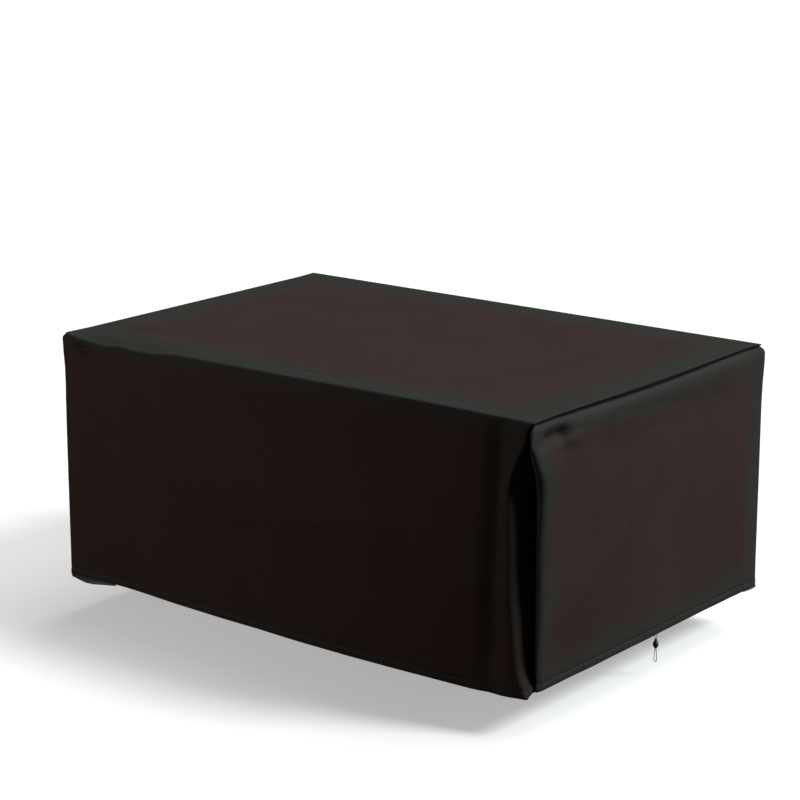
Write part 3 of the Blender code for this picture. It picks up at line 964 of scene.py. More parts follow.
class Span(NamedTuple):
    """Values between which a mask goes from 0 to 1."""

    low: float
    high: float


class Grain(NamedTuple):
    """Soft noise: its turns per metre, how many finer layers it has and how strong they are."""

    scale: float
    detail: float = 2.0
    rough: float = 0.5


class NodePlan:
    """Nodes of one tree."""

    def __init__(self, tree: bpy.types.NodeTree) -> None:
        """Work on a tree."""
        self.tree = tree

    def add(self, kind: str, settings: Optional[dict[str, Any]] = None,
            values: Optional[dict[Any, Any]] = None, output: Any = 0) -> Wire:
        """Add a node.

        Args:
            kind: Type of the node.
            settings: Its own settings, set first.
            values: What its sockets take, a wire or a plain value, by name or number.
            output: Name or number of the output to use.

        Returns:
            That output.
        """
        node = self.tree.nodes.new(kind)
        for name, value in (settings or {}).items():
            setattr(node, name, value)
        for name, value in (values or {}).items():
            self.feed(node.inputs[name], value)
        return Wire(self, node.outputs[output])

    def feed(self, socket: bpy.types.NodeSocket, value: Any) -> None:
        """Link a wire to a socket, or set its plain value.

        Args:
            socket: The socket.
            value: The wire or the value.
        """
        if isinstance(value, Wire):
            self.tree.links.new(value.socket, socket)
        else:
            socket.default_value = value


class FinishPlan(NodePlan):
    """Nodes of one finish, with the shader's sockets set as it goes."""

    def __init__(self, name: str) -> None:
        """Start a material with its shader.

        Args:
            name: Name of the finish.
        """
        self.material = bpy.data.materials.new(name)
        self.material.use_nodes = True
        super().__init__(self.material.node_tree)
        self.shader = self.tree.nodes["Principled BSDF"]

    def set(self, **values: Any) -> None:
        """Feed the shader's sockets, by name with _ for each space."""
        for name, value in values.items():
            self.feed(self.shader.inputs[name.replace("_", " ")], value)

    def place(self) -> Wire:
        """Place on the object, in metres."""
        return self.add("ShaderNodeTexCoord", output="Object")

    def flat_place(self) -> Wire:
        """Place on the flat cloth, or along the cord and round it, in metres."""
        return self.add("ShaderNodeUVMap", {"uv_map": "flat"})

    def split(self, vector: Wire) -> tuple[Wire, ...]:
        """Take a vector apart."""
        node = self.add("ShaderNodeSeparateXYZ", values={0: vector}).socket.node
        return tuple(Wire(self, output) for output in node.outputs)

    def attribute(self, name: str) -> Wire:
        """Number that the mesh carries at each vertex."""
        return self.add("ShaderNodeAttribute", {"attribute_name": name}, output="Fac")

    def noise(self, vector: Wire, grain: Grain) -> Wire:
        """Soft noise about 0.5, read at a vector."""
        values = {"Vector": vector, "Scale": grain.scale, "Detail": grain.detail}
        return self.add("ShaderNodeTexNoise", values={**values, "Roughness": grain.rough})

    def stretch(self, vector: Wire, scale: tuple[float, float, float]) -> Wire:
        """Vector with each of its parts scaled."""
        return self.add("ShaderNodeVectorMath", {"operation": "MULTIPLY"}, {0: vector, 1: scale})

    def weave(self, flat: Wire, pitch: float) -> Wire:
        """Height of a plain weave from -1 to 1, with its threads at a pitch both ways."""
        across, down, _ = self.split(flat)
        return across.wave(pitch * 2) * down.wave(pitch * 2)

    def tint(self, share: Any, first: Any, second: Any) -> Wire:
        """Mix of two colours, through the colour sockets of a Mix node."""
        values = {0: share, 6: first, 7: second}
        return self.add("ShaderNodeMix", {"data_type": "RGBA"}, values, output=2)

    def bump(self, height: Wire) -> Wire:
        """Surface normal from a height in metres."""
        values = {"Height": height, "Distance": 1.0}
        return self.add("ShaderNodeBump", values=values, output="Normal")


Colour = tuple[float, float, float, float]


@dataclass(frozen=True)
class Finish:
    """A finish, whose nodes and colours a subclass gives."""

    name: str

    def make(self) -> bpy.types.Material:
        """Make the material.

        Returns:
            The material.
        """
        plan = FinishPlan(self.name)
        self.dress(plan)
        return plan.material

    def dress(self, plan: FinishPlan) -> None:
        """Give the material its nodes."""
        raise NotImplementedError


@dataclass(frozen=True)
class CoverCloth(Finish):
    """Coated black polyester, plain weave: brown-black on broad faces, greener where it wears, with
    painted shade along its seams and in its hem's groove.
    """

    name: str = "cover_cloth"
    broad: Colour = (0.0290, 0.0156, 0.0127, 1)
    broad_pale: Colour = (0.0325, 0.0180, 0.0150, 1)
    edge: Colour = (0.0220, 0.0240, 0.0200, 1)
    # near black: painted shade along the seams, down the corner folds and in the hem's groove; also
    # the dark of slubs and specks
    seam: Colour = (0.0008, 0.0008, 0.0008, 1)
    sheen: Colour = (0.82, 0.86, 0.84, 1)
    thread_pitch: float = 0.0012
    roughness: float = 0.66
    mottle: Grain = Grain(3.2, 3.0, 0.55)
    mottled: Span = Span(0.35, 0.7)
    speck: Grain = Grain(70.0)
    slub: Grain = Grain(1.0)
    slub_long: float = 9.0
    slub_thin: float = 420.0
    wear: Grain = Grain(5.0, 4.0, 0.65)
    wear_swing: float = 1.3
    worn: Span = Span(0.1, 1.1)
    shaded: Span = Span(0.2, 0.8)
    shade_share: float = 0.35
    slub_shade: float = 0.5
    speck_shade: float = 0.25
    mottle_rough: float = 0.16
    slub_rough: float = 0.2
    gloss: float = 0.08
    sheen_weight: float = 0.02
    sheen_roughness: float = 0.4
    # span of the mask of painted shade along the seams and in the hem's groove
    sewn: Span = Span(0.15, 0.55)
    crumple: Grain = Grain(26.0, 3.0, 0.6)
    pucker: Grain = Grain(1.0, 1.0)
    pucker_turns: tuple[float, float, float] = (55.0, 12.0, 1.0)
    weave_height: float = 0.00006
    slub_height: float = 0.00012
    crumple_height: float = 0.0011
    pucker_height: float = 0.0022

    def dress(self, plan: FinishPlan) -> None:
        """Give the material its nodes.

        Args:
            plan: Plan of the material.
        """
        place, flat = plan.place(), plan.flat_place()
        mottle = plan.noise(place, self.mottle)
        speck = plan.noise(place, self.speck)
        weft = plan.noise(plan.stretch(flat, (self.slub_long, self.slub_thin, 1.0)), self.slub)
        warp = plan.noise(plan.stretch(flat, (self.slub_thin, self.slub_long, 1.0)), self.slub)
        slubs = (weft + warp) * 0.5
        patches = (plan.noise(place, self.wear) - 0.5) * self.wear_swing
        worn = (plan.attribute("worn") + patches).between(self.worn)
        colour = plan.tint(mottle.between(self.mottled), self.broad, self.broad_pale)
        colour = plan.tint(worn, colour, self.edge)
        shade = (slubs - 0.5) * self.slub_shade + (speck - 0.5) * self.speck_shade + 0.5
        colour = plan.tint(shade.between(self.shaded) * self.shade_share, colour, self.seam)
        # painted shade: the seams, the bottoms of the corner folds and the hem's groove are painted
        # near black
        colour = plan.tint(plan.attribute("seam").between(self.sewn), colour, self.seam)
        crumple = plan.noise(place, self.crumple)
        pucker = plan.noise(plan.stretch(flat, self.pucker_turns), self.pucker)
        height = (plan.weave(flat, self.thread_pitch) * self.weave_height + slubs * self.slub_height
                  + crumple * self.crumple_height
                  + pucker * plan.attribute("pucker") * self.pucker_height)
        rough = (mottle - 0.5) * self.mottle_rough + (slubs - 0.5) * self.slub_rough
        plan.set(
            Base_Color=colour,
            Roughness=rough + self.roughness,
            Normal=plan.bump(height),
            Specular_IOR_Level=self.gloss,
            Sheen_Weight=self.sheen_weight,
            Sheen_Roughness=self.sheen_roughness,
            Sheen_Tint=self.sheen,
        )


@dataclass(frozen=True)
class InnerCoating(Finish):
    """Dull waterproof coating on the inside of the cloth, with the weave showing through."""

    name: str = "inner_coating"
    coat: Colour = (0.020, 0.020, 0.021, 1)
    rubbed: Colour = (0.034, 0.034, 0.035, 1)
    thread_pitch: float = 0.0012
    cloud: Grain = Grain(5.0, 4.0, 0.6)
    clouded: Span = Span(0.4, 0.7)
    roughness: float = 0.48
    cloud_rough: float = 0.2
    weave_height: float = 0.00003
    cloud_height: float = 0.0006

    def dress(self, plan: FinishPlan) -> None:
        """Give the material its nodes.

        Args:
            plan: Plan of the material.
        """
        cloudy = plan.noise(plan.place(), self.cloud)
        weave = plan.weave(plan.flat_place(), self.thread_pitch)
        plan.set(
            Base_Color=plan.tint(cloudy.between(self.clouded), self.coat, self.rubbed),
            Roughness=(cloudy - 0.5) * self.cloud_rough + self.roughness,
            Normal=plan.bump(weave * self.weave_height + cloudy * self.cloud_height),
        )


@dataclass(frozen=True)
class SewingThread(Finish):
    """Twisted black sewing thread."""

    name: str = "sewing_thread"
    dark: Colour = (0.010, 0.010, 0.010, 1)
    pale: Colour = (0.035, 0.036, 0.034, 1)
    twist_pitch: float = 0.0007
    twist_rise: float = 0.7
    twist_height: float = 0.00005
    fuzz: Grain = Grain(90.0)
    roughness: float = 0.4
    fuzz_rough: float = 0.2

    def dress(self, plan: FinishPlan) -> None:
        """Give the material its nodes.

        Args:
            plan: Plan of the material.
        """
        place = plan.place()
        along, aside, up = plan.split(place)
        twist = (along + aside + up * self.twist_rise).wave(self.twist_pitch)
        plan.set(
            Base_Color=plan.tint(twist * 0.5 + 0.5, self.dark, self.pale),
            Roughness=plan.noise(place, self.fuzz) * self.fuzz_rough + self.roughness,
            Normal=plan.bump(twist * self.twist_height),
        )


@dataclass(frozen=True)
class BraidedCord(Finish):
    """Braided dark grey cord, its strands crossing both ways round."""

    name: str = "draw_cord"
    dark: Colour = (0.016, 0.015, 0.016, 1)
    pale: Colour = (0.075, 0.072, 0.074, 1)
    strand: float = 0.0011
    fuzz: Grain = Grain(900.0)
    braid_height: float = 0.00012
    fuzz_height: float = 0.00005
    braid_shade: float = 0.4
    fuzz_shade: float = 0.3
    roughness: float = 0.65
    fuzz_rough: float = 0.2
    sheen_weight: float = 0.2
    sheen_roughness: float = 0.5

    def dress(self, plan: FinishPlan) -> None:
        """Give the material its nodes.

        Args:
            plan: Plan of the material.
        """
        along, round_it, _ = plan.split(plan.flat_place())
        pitch = self.strand * 2
        braid = (along + round_it).wave(pitch) * (along - round_it).wave(pitch)
        fuzz = plan.noise(plan.place(), self.fuzz)
        shade = braid * self.braid_shade + fuzz * self.fuzz_shade + 0.3
        plan.set(
            Base_Color=plan.tint(shade, self.dark, self.pale),
            Roughness=fuzz * self.fuzz_rough + self.roughness,
            Normal=plan.bump(braid * self.braid_height + fuzz * self.fuzz_height),
            Sheen_Weight=self.sheen_weight,
            Sheen_Roughness=self.sheen_roughness,
        )


@dataclass(frozen=True)
class MouldedPlastic(Finish):
    """Black moulded plastic with a fine spark-eroded grain and rubbed edges."""

    name: str = "lock_plastic"
    body: Colour = (0.009, 0.009, 0.010, 1)
    rubbed: Colour = (0.022, 0.022, 0.023, 1)
    spark: Grain = Grain(2600.0)
    spark_height: float = 0.00004
    spark_rough: float = 0.16
    handled_rough: float = 0.08
    roughness: float = 0.32
    handling: Grain = Grain(160.0, 3.0)
    handled: Span = Span(0.5, 0.75)

    def dress(self, plan: FinishPlan) -> None:
        """Give the material its nodes.

        Args:
            plan: Plan of the material.
        """
        place = plan.place()
        grain = plan.noise(place, self.spark)
        handled = plan.noise(place, self.handling).between(self.handled)
        plan.set(
            Base_Color=plan.tint(handled, self.body, self.rubbed),
            Roughness=grain * self.spark_rough - handled * self.handled_rough + self.roughness,
            Normal=plan.bump(grain * self.spark_height),
        )


@dataclass(frozen=True)
class PaleFloor(Finish):
    """Plain pale studio floor."""

    name: str = "pale_floor"
    colour: Colour = (0.56, 0.56, 0.56, 1)
    cloudy: Colour = (0.54, 0.54, 0.535, 1)
    glow: float = 0.38
    glow_colour: Colour = (1, 1, 1, 1)
    cloud: Grain = Grain(0.6)
    cloud_rough: float = 0.1
    roughness: float = 0.75
    gloss: float = 0.1

    def dress(self, plan: FinishPlan) -> None:
        """Give the material its nodes.

        Args:
            plan: Plan of the material.
        """
        clouds = plan.noise(plan.place(), self.cloud)
        plan.set(
            Base_Color=plan.tint(clouds, self.colour, self.cloudy),
            Roughness=clouds * self.cloud_rough + self.roughness,
            Specular_IOR_Level=self.gloss,
            Emission_Color=self.glow_colour,
            Emission_Strength=self.glow,
        )


def new_piece(name: str, bm: bmesh.types.BMesh, finishes: Sequence[bpy.types.Material],
              smooth_angle: float) -> bpy.types.Object:
    """Turn a finished bmesh into a named piece.

    Args:
        name: Name of the piece.
        bm: Its mesh, which is freed.
        finishes: Its materials, by material index.
        smooth_angle: Angle in degrees up to which edges look smooth.

    Returns:
        The piece.
    """
    mesh = bpy.data.meshes.new(name)
    bm.to_mesh(mesh)
    bm.free()
    for finish in finishes:
        mesh.materials.append(finish)
    mesh.shade_smooth()
    mesh.set_sharp_from_angle(angle=math.radians(smooth_angle))
    piece = bpy.data.objects.new(name, mesh)
    bpy.context.scene.collection.objects.link(piece)
    LOG.info("%s: %d faces", name, len(mesh.polygons))
    return piece


def facing(turn: float, lift: float) -> Vector:
    """Way out from the cover, by the angle round from the front and the angle up."""
    level = math.cos(lift)
    return Vector((math.sin(turn) * level, -math.cos(turn) * level, math.sin(lift)))


class Sun(NamedTuple):
    """Broad soft light, in degrees round from the front, degrees up and degrees across."""

    name: str
    strength: float
    azimuth: float
    elevation: float
    softness: float
    colour: tuple[float, float, float] = PLAIN_LIGHT


class Panel(NamedTuple):
    """Square light beside the cover, turned to its middle, with its power in watts."""

    name: str
    power: float
    place: tuple[float, float, float]
    side: float
    colour: tuple[float, float, float] = PLAIN_LIGHT


@dataclass(frozen=True)
class Studio:
    """Camera at the photograph's angle, pale floor and soft light."""

    camera_place: tuple[float, float, float] = (5.660557, -7.261440, 2.1134)
    azimuth: float = 0.6665993
    elevation: float = 0.2512760
    lens: float = 108.198
    sensor: float = 36.0
    view_end: float = 300.0
    floor_level: float = -1.154
    floor_side: float = 120.0
    smooth_angle: float = 30.0
    suns: tuple[Sun, ...] = (
        Sun("key_light", 3.6, 115, 42, 18, (0.95, 1.0, 1.03)),
        Sun("over_light", 2.0, 165, 62, 50),
    )
    panels: tuple[Panel, ...] = (
        Panel("left_panel", 44, (-2.2, -3.8, 0.05), 1.2, (1.14, 1.0, 0.96)),
        Panel("right_panel", 24, (3.4, 1.7, -0.1), 1.2),
    )
    fill: Colour = (0.97, 0.98, 1.0, 1)
    fill_strength: float = 0.06
    backdrop: Colour = (0.86, 0.86, 0.86, 1)

    def build_camera(self) -> bpy.types.Object:
        """Place the camera.

        Returns:
            The camera.
        """
        back = facing(self.azimuth, self.elevation)
        right = Vector((math.cos(self.azimuth), math.sin(self.azimuth), 0))
        data = bpy.data.cameras.new("camera")
        data.lens = self.lens
        data.sensor_width = self.sensor
        data.clip_end = self.view_end
        camera = bpy.data.objects.new("camera", data)
        bpy.context.scene.collection.objects.link(camera)
        aim = Matrix((right, back.cross(right), back)).transposed().to_4x4()
        camera.matrix_world = Matrix.Translation(self.camera_place) @ aim
        bpy.context.scene.camera = camera
        return camera

    def build_floor(self) -> bpy.types.Object:
        """Lay the floor.

        Returns:
            The floor.
        """
        bm = bmesh.new()
        level = Matrix.Translation((0, 0, self.floor_level))
        side = self.floor_side / 2
        bmesh.ops.create_grid(bm, x_segments=1, y_segments=1, size=side, matrix=level)
        floor = new_piece("floor", bm, [PaleFloor().make()], self.smooth_angle)
        floor.visible_diffuse = False
        floor.visible_glossy = False
        return floor

    def hang(self, kind: str, lamp: Any, power: float, away: Vector) -> bpy.types.Object:
        """Hang a light.

        Args:
            kind: Type of the light.
            lamp: Its row, a Sun or a Panel.
            power: Its strength or power.
            away: Way from what it shines on to the light.

        Returns:
            The light.
        """
        data = bpy.data.lights.new(lamp.name, kind)
        data.energy = power
        data.color = lamp.colour
        light = bpy.data.objects.new(lamp.name, data)
        bpy.context.scene.collection.objects.link(light)
        light.rotation_euler = away.to_track_quat("Z", "Y").to_euler()
        return light

    def build_light(self) -> None:
        """Hang the lights and fill the room with even light."""
        for sun in self.suns:
            away = facing(math.radians(sun.azimuth), math.radians(sun.elevation))
            light = self.hang("SUN", sun, sun.strength, away)
            light.data.angle = math.radians(sun.softness)
        for panel in self.panels:
            away = Vector(panel.place) - Vector((0, 0, -SIZE.height / 2))
            light = self.hang("AREA", panel, panel.power, away)
            light.data.shape = "SQUARE"
            light.data.size = panel.side
            light.location = panel.place
            light.visible_camera = False
        self.build_room()
        bpy.context.scene.view_settings.view_transform = "Standard"

    def build_room(self) -> None:
        """Fill the room with faint even light, in front of a plain pale backdrop."""
        world = bpy.data.worlds.new("room")
        bpy.context.scene.world = world
        world.use_nodes = True
        plan = NodePlan(world.node_tree)
        fill = plan.tree.nodes["Background"]
        plan.feed(fill.inputs["Color"], self.fill)
        plan.feed(fill.inputs["Strength"], self.fill_strength)
        shown = plan.add("ShaderNodeBackground", values={"Color": self.backdrop, "Strength": 1.0})
        seen = plan.add("ShaderNodeLightPath", output="Is Camera Ray")
        values = {0: seen, 1: Wire(plan, fill.outputs[0]), 2: shown}
        either = plan.add("ShaderNodeMixShader", values=values)
        plan.feed(plan.tree.nodes["World Output"].inputs["Surface"], either)


class Mark(NamedTuple):
    """What the material reads at a point of cloth, each from 0 to 1."""

    worn: float
    # where shade is painted: along the seams, down the corner folds and in the hem's groove
    seam: float
    pucker: float


@dataclass(frozen=True)
class Cloth:
    """A sheet of the cover: a flat grid laid on the points of its lines, and given its thickness.

    A subclass gives the lines, the points, and where its seam is.
    """

    name: str
    node: str
    flat: tuple[float, float]
    seam_side: int
    line_step: float
    path_steps: int = 15
    between_steps: int = 6
    path_flat: float = 0.14
    between_flat: float = 0.10
    hem_groove: float = 0.030
    groove_depth: float = 0.0016
    groove_width: float = 0.0035
    # how far and how strongly shade is painted into the hem's groove
    painted_groove_shade_reach: float = 0.003
    painted_groove_shade: float = 0.4
    hem_belly: float = 0.0012
    hem_step: float = 0.004
    hem_edge: float = 0.003
    hem_edge_roll: float = 0.001
    hem_gaps: tuple[float, ...] = (0.0, 0.0008, 0.003, 0.008, 0.014, 0.021)
    groove_gaps: tuple[float, ...] = (0.005, 0.0025, 0.0, -0.0025, -0.005)
    top_gaps: tuple[float, ...] = (
        0.04, 0.032, 0.026, 0.021, 0.017, 0.013, 0.010, 0.0075, 0.005, 0.0035, 0.002)
    top_start: float = 0.05
    worn_reach: float = 0.055
    ridge_worn: float = 0.6
    hem_worn: float = 0.8
    # how far painted shade reaches out from a seam
    painted_seam_shade_reach: float = 0.006
    seam_depth: float = 0.005
    seam_width: float = 0.005
    seam_turn: float = 1.3
    pucker_reach: float = 0.03
    top_border: float = 0.34
    end_border: float = 0.22
    tip_calm: float = 0.9
    tip_reach: float = 0.02
    smooth_angle: float = 50.0

    def columns(self) -> list[Any]:
        """Lines that run down the cloth."""
        raise NotImplementedError

    def rows(self) -> list[Any]:
        """Lines that run across the cloth."""
        raise NotImplementedError

    def point(self, column: Any, row: Any) -> Vector:
        """Point where two lines cross."""
        raise NotImplementedError

    def nearest_seam(self, column: Any, row: Any) -> tuple[tuple[End, Side, float], float]:
        """Place on the seam that a crossing is nearest to, and how far off it is."""
        raise NotImplementedError

    def flat_place(self, column: Any, row: Any) -> Vector:
        """Where the crossing lies on the flat cloth, in metres."""
        raise NotImplementedError

    def mark(self, column: Any, row: Any) -> Mark:
        """What the material reads at the crossing."""
        raise NotImplementedError

    def reaches(self, middle: float) -> list[float]:
        """List the reaches of the lines from a corner to the middle of its side.

        Args:
            middle: Distance from the corner to the middle.

        Returns:
            The reaches, as Drape.place reads them.
        """
        reaches = [part / self.path_steps for part in range(self.path_steps + 1)]
        reaches += [1 + part / self.between_steps for part in range(1, self.between_steps + 1)]
        rest = spread(SIZE.clear_of_corner, middle, self.line_step)
        return reaches + [2 + distance - SIZE.clear_of_corner for distance in rest]

    def from_seam_flat(self, reach: float) -> float:
        """Distance of a line from the seam on the flat cloth."""
        beside = self.path_flat * min(reach, 1) + self.between_flat * min(max(reach - 1, 0), 1)
        return beside + max(reach - 2, 0)

    def mark_at(self, worn: float, from_seam: float, down: float) -> Mark:
        """Add the painted shade of the seams and of the hem's groove to what the material reads.

        Args:
            worn: How worn the place is.
            from_seam: How far it is from the nearest seam.
            down: Distance down.

        Returns:
            What the material reads.
        """
        from_groove = SIZE.height - down - self.hem_groove
        # painted shade in the hem's groove, and along the seams below
        groove = bell(from_groove, self.painted_groove_shade_reach) * self.painted_groove_shade
        pucker = max(bell(from_groove, self.pucker_reach), bell(from_seam, self.pucker_reach))
        return Mark(worn, max(bell(from_seam, self.painted_seam_shade_reach), groove), pucker)

    def skirt_downs(self) -> list[float]:
        """List the distances down of a skirt's lines.

        Returns:
            The distances, from the hem up to the top edge.
        """
        downs = [SIZE.height - gap for gap in self.hem_gaps]
        downs += [SIZE.height - self.hem_groove + gap for gap in self.groove_gaps]
        return downs + spread(downs[-1], self.top_start, self.line_step) + list(self.top_gaps)

    def hem_relief(self, down: float) -> float:
        """Shape the hem: a stitched groove with a rounded band below.

        Args:
            down: Distance down.

        Returns:
            How far the cloth stands out.
        """
        above_edge = SIZE.height - down
        if above_edge > 2 * self.hem_groove:
            return 0.0
        groove = -self.groove_depth * bell(above_edge - self.hem_groove, self.groove_width)
        belly = self.hem_belly * bell(above_edge - self.hem_groove / 2, self.hem_groove / 3)
        edge = -self.hem_edge_roll * max(1 - above_edge / self.hem_edge, 0.0) ** 2
        return groove + belly + edge

    def build(self, finishes: Sequence[bpy.types.Material]) -> bpy.types.Object:
        """Make the sheet.

        Args:
            finishes: Materials of its outside and of its inside.

        Returns:
            The sheet.
        """
        columns, rows = self.columns(), self.rows()
        bm = bmesh.new()
        bmesh.ops.create_grid(bm, x_segments=len(columns) - 1, y_segments=len(rows) - 1, size=1)
        flat = bm.verts.layers.float_vector.new("flat_place")
        inward = bm.verts.layers.float_vector.new("inward")
        thick = bm.verts.layers.float.new("thick")
        relief = bm.verts.layers.float.new("relief")
        marks = [bm.verts.layers.float.new(name) for name in Mark._fields]
        for vert in bm.verts:
            column = columns[round((vert.co.x + 1) / 2 * (len(columns) - 1))]
            row = rows[round((vert.co.y + 1) / 2 * (len(rows) - 1))]
            down = row[-1]
            vert.co = self.point(column, row)
            vert[flat] = self.flat_place(column, row)
            turned_up = ease((down - SIZE.height + SIZE.hem) / self.hem_step)
            vert[thick] = mix(SIZE.cloth, SIZE.hem_cloth, turned_up)
            for layer, value in zip(marks, self.mark(column, row)):
                vert[layer] = value
            near_seam, away = self.nearest_seam(column, row)
            way_in, apart = DRAPE.seam_frame(*near_seam)
            tip = (vert.co - DRAPE.seam(near_seam[0], near_seam[1], 0.0)).length
            calm = 1 - self.tip_calm * bell(tip, self.tip_reach)
            vert[thick] *= calm
            vert.co += way_in * self.seam_depth * bell(away, self.seam_width) * calm
            if not away:
                vert[inward] = way_in * SIZE.cloth * self.seam_turn * calm
                vert.co += apart * (self.seam_side * SIZE.seam_gap / 2)
            vert[relief] = self.hem_relief(down)
        bmesh.ops.recalc_face_normals(bm, faces=bm.faces[:])
        self.turn_outward(bm)
        for vert, normal in [(vert, vert.normal.copy()) for vert in bm.verts]:
            if not vert[inward].length:
                vert.co += normal * vert[relief]
                vert[inward] = normal * -vert[thick]
        shell = bmesh.ops.extrude_face_region(bm, geom=bm.faces[:], use_keep_orig=True)
        for item in shell["geom"]:
            if isinstance(item, bmesh.types.BMVert):
                item.co += item[inward]
            elif isinstance(item, bmesh.types.BMFace):
                item.material_index = 1
        bmesh.ops.recalc_face_normals(bm, faces=bm.faces[:])
        write_flat_uv(bm)
        bm.verts.layers.float_vector.remove(bm.verts.layers.float_vector["inward"])
        for name in ("thick", "relief"):
            bm.verts.layers.float.remove(bm.verts.layers.float[name])
        return new_piece(self.name, bm, finishes, self.smooth_angle)

    @staticmethod
    def turn_outward(bm: bmesh.types.BMesh) -> None:
        """Turn an open sheet so that its faces look away from the middle of the cover.

        Args:
            bm: Mesh of the sheet.
        """
        bm.normal_update()
        middle = Vector((0, 0, -SIZE.height / 2))
        outward = sum(face.normal.dot(face.calc_center_median() - middle) * face.calc_area()
                      for face in bm.faces)
        if outward < 0:
            bmesh.ops.reverse_faces(bm, faces=bm.faces[:])
            bm.normal_update()

    def declare(self, piece: bpy.types.Object, stitches: bpy.types.Object) -> None:
        """Attach the sheet and its stitching to the cover's body, and hide the CAD part that the
        sheet stands for.

        Args:
            piece: The sheet.
            stitches: The stitching on its hem.
        """
        for item in (piece, stitches):
            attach(item, ROOT)
        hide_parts(self.node)


@dataclass(frozen=True)
class LongCloth(Cloth):
    """Front skirt, top and back skirt in one cloth."""

    top_step: float = 0.0178
    edge_strip: float = 0.125
    edge_step: float = 0.0062
    edge_gaps: tuple[float, ...] = (0.0, 0.002, 0.0045, 0.007, 0.010, 0.013, 0.016, 0.021, 0.026)

    def columns(self) -> list[Any]:
        """Lines that run down the front, as the end and the reach from its corner."""
        return both_ways(End.LEFT, End.RIGHT, self.reaches(SIZE.half_length))

    def rows(self) -> list[Any]:
        """List the lines that run along the cover.

        Returns:
            The lines, as the long side and the distance down.
        """
        stations = list(self.edge_gaps)
        stations += spread(stations[-1], self.edge_strip, self.edge_step)
        stations += spread(stations[-1], SIZE.half_width, self.top_step)
        levels = self.skirt_downs() + [-station for station in stations]
        return both_ways(Side.FRONT, Side.BACK, levels)

    def point(self, column: Any, row: Any) -> Vector:
        """Point where two lines cross."""
        return DRAPE.long_point(column[0], *row, column[1])

    def from_fold(self, column: Any, row: Any) -> tuple[float, float, float]:
        """Find how far a crossing is from its corner's fold.

        Args:
            column: Line that runs down.
            row: Line that runs along.

        Returns:
            How far it is from the seam, past the fold's ridge, and from the corner.
        """
        shape = DRAPE.fold(column[0], *row)
        seam = (shape.seam_along, shape.seam_in)
        place, _ = DRAPE.place(seam, shape.long_ridge, shape.long_roll, column[1])
        return (place - Vector(seam)).length, max(place.x - shape.long_ridge, 0.0), place.x

    def nearest_seam(self, column: Any, row: Any) -> tuple[tuple[End, Side, float], float]:
        """Place on the seam that a crossing is nearest to, and how far off it is."""
        return (column[0], *row), self.from_fold(column, row)[0]

    def flat_place(self, column: Any, row: Any) -> Vector:
        """Where the crossing lies on the flat cloth, in metres."""
        along = column[0] * (self.flat[0] / 2 - self.from_seam_flat(column[1]))
        return Vector((along, row[0] * (SIZE.half_width + row[1]), 0))

    def mark(self, column: Any, row: Any) -> Mark:
        """Say what the material reads at a crossing.

        Args:
            column: Line that runs down.
            row: Line that runs along.

        Returns:
            What it reads: the skirts wear at their edges and ridges, the top in a broad border.
        """
        down = row[1]
        from_seam, from_ridge, from_corner = self.from_fold(column, row)
        if down <= 0:
            worn = max(border(away, self.top_border) for away in (-down, from_corner))
        else:
            worn = max(bell(from_ridge, self.worn_reach) * self.ridge_worn,
                       bell(down, self.worn_reach),
                       bell(SIZE.height - down, self.worn_reach) * self.hem_worn)
        return self.mark_at(worn, from_seam, down)


@dataclass(frozen=True)
class EndCloth(Cloth):
    """Cloth of one end, from its hem to its top seam."""

    end: End = End.RIGHT
    path_steps: int = 14
    between_steps: int = 10
    path_flat: float = 0.08
    between_flat: float = 0.13

    def columns(self) -> list[Any]:
        """Lines that run down the end, as the long side and the reach from its corner."""
        return both_ways(Side.FRONT, Side.BACK, self.reaches(SIZE.half_width))

    def rows(self) -> list[Any]:
        """Lines that run across the end, as the distance down."""
        return [(down,) for down in self.skirt_downs()] + [(0.0,)]

    def point(self, column: Any, row: Any) -> Vector:
        """Point where two lines cross."""
        return DRAPE.end_point(self.end, column[0], row[0], column[1])

    def from_fold(self, column: Any, row: Any) -> tuple[float, float]:
        """Find how far a crossing is from its corner's fold.

        Args:
            column: Line that runs down.
            row: Line that runs across.

        Returns:
            How far it is from the seam and past the fold's ridge.
        """
        (side, reach), down = column, row[0]
        shape = DRAPE.fold(self.end, side, max(down, JUST_DOWN))
        seam = (shape.seam_in, shape.seam_along - DRAPE.end_inset(self.end, down, 0.0))
        place, _ = DRAPE.place(seam, shape.end_ridge, shape.end_roll, reach)
        return (place - Vector(seam)).length, max(place.x - shape.end_ridge, 0.0)

    def nearest_seam(self, column: Any, row: Any) -> tuple[tuple[End, Side, float], float]:
        """Find the place on the seams that a crossing is nearest to.

        Args:
            column: Line that runs down.
            row: Line that runs across.

        Returns:
            That place, and how far off it is.
        """
        (side, reach), down = column, row[0]
        from_seam = self.from_fold(column, row)[0]
        if from_seam <= down:
            return (self.end, side, down), from_seam
        return (self.end, side, -DRAPE.station(reach)), down

    def flat_place(self, column: Any, row: Any) -> Vector:
        """Where the crossing lies on the flat cloth, in metres."""
        across = column[0] * (self.flat[0] / 2 - self.from_seam_flat(column[1]))
        return Vector((across, -row[0], 0))

    def mark(self, column: Any, row: Any) -> Mark:
        """Say what the material reads at a crossing.

        Args:
            column: Line that runs down.
            row: Line that runs across.

        Returns:
            What it reads: the cloth wears in a border all round.
        """
        down = row[0]
        from_seam, from_ridge = self.from_fold(column, row)
        edges = (from_ridge, down, SIZE.height - down)
        worn = max(border(away, self.end_border) for away in edges)
        return self.mark_at(worn, min(from_seam, down), down)


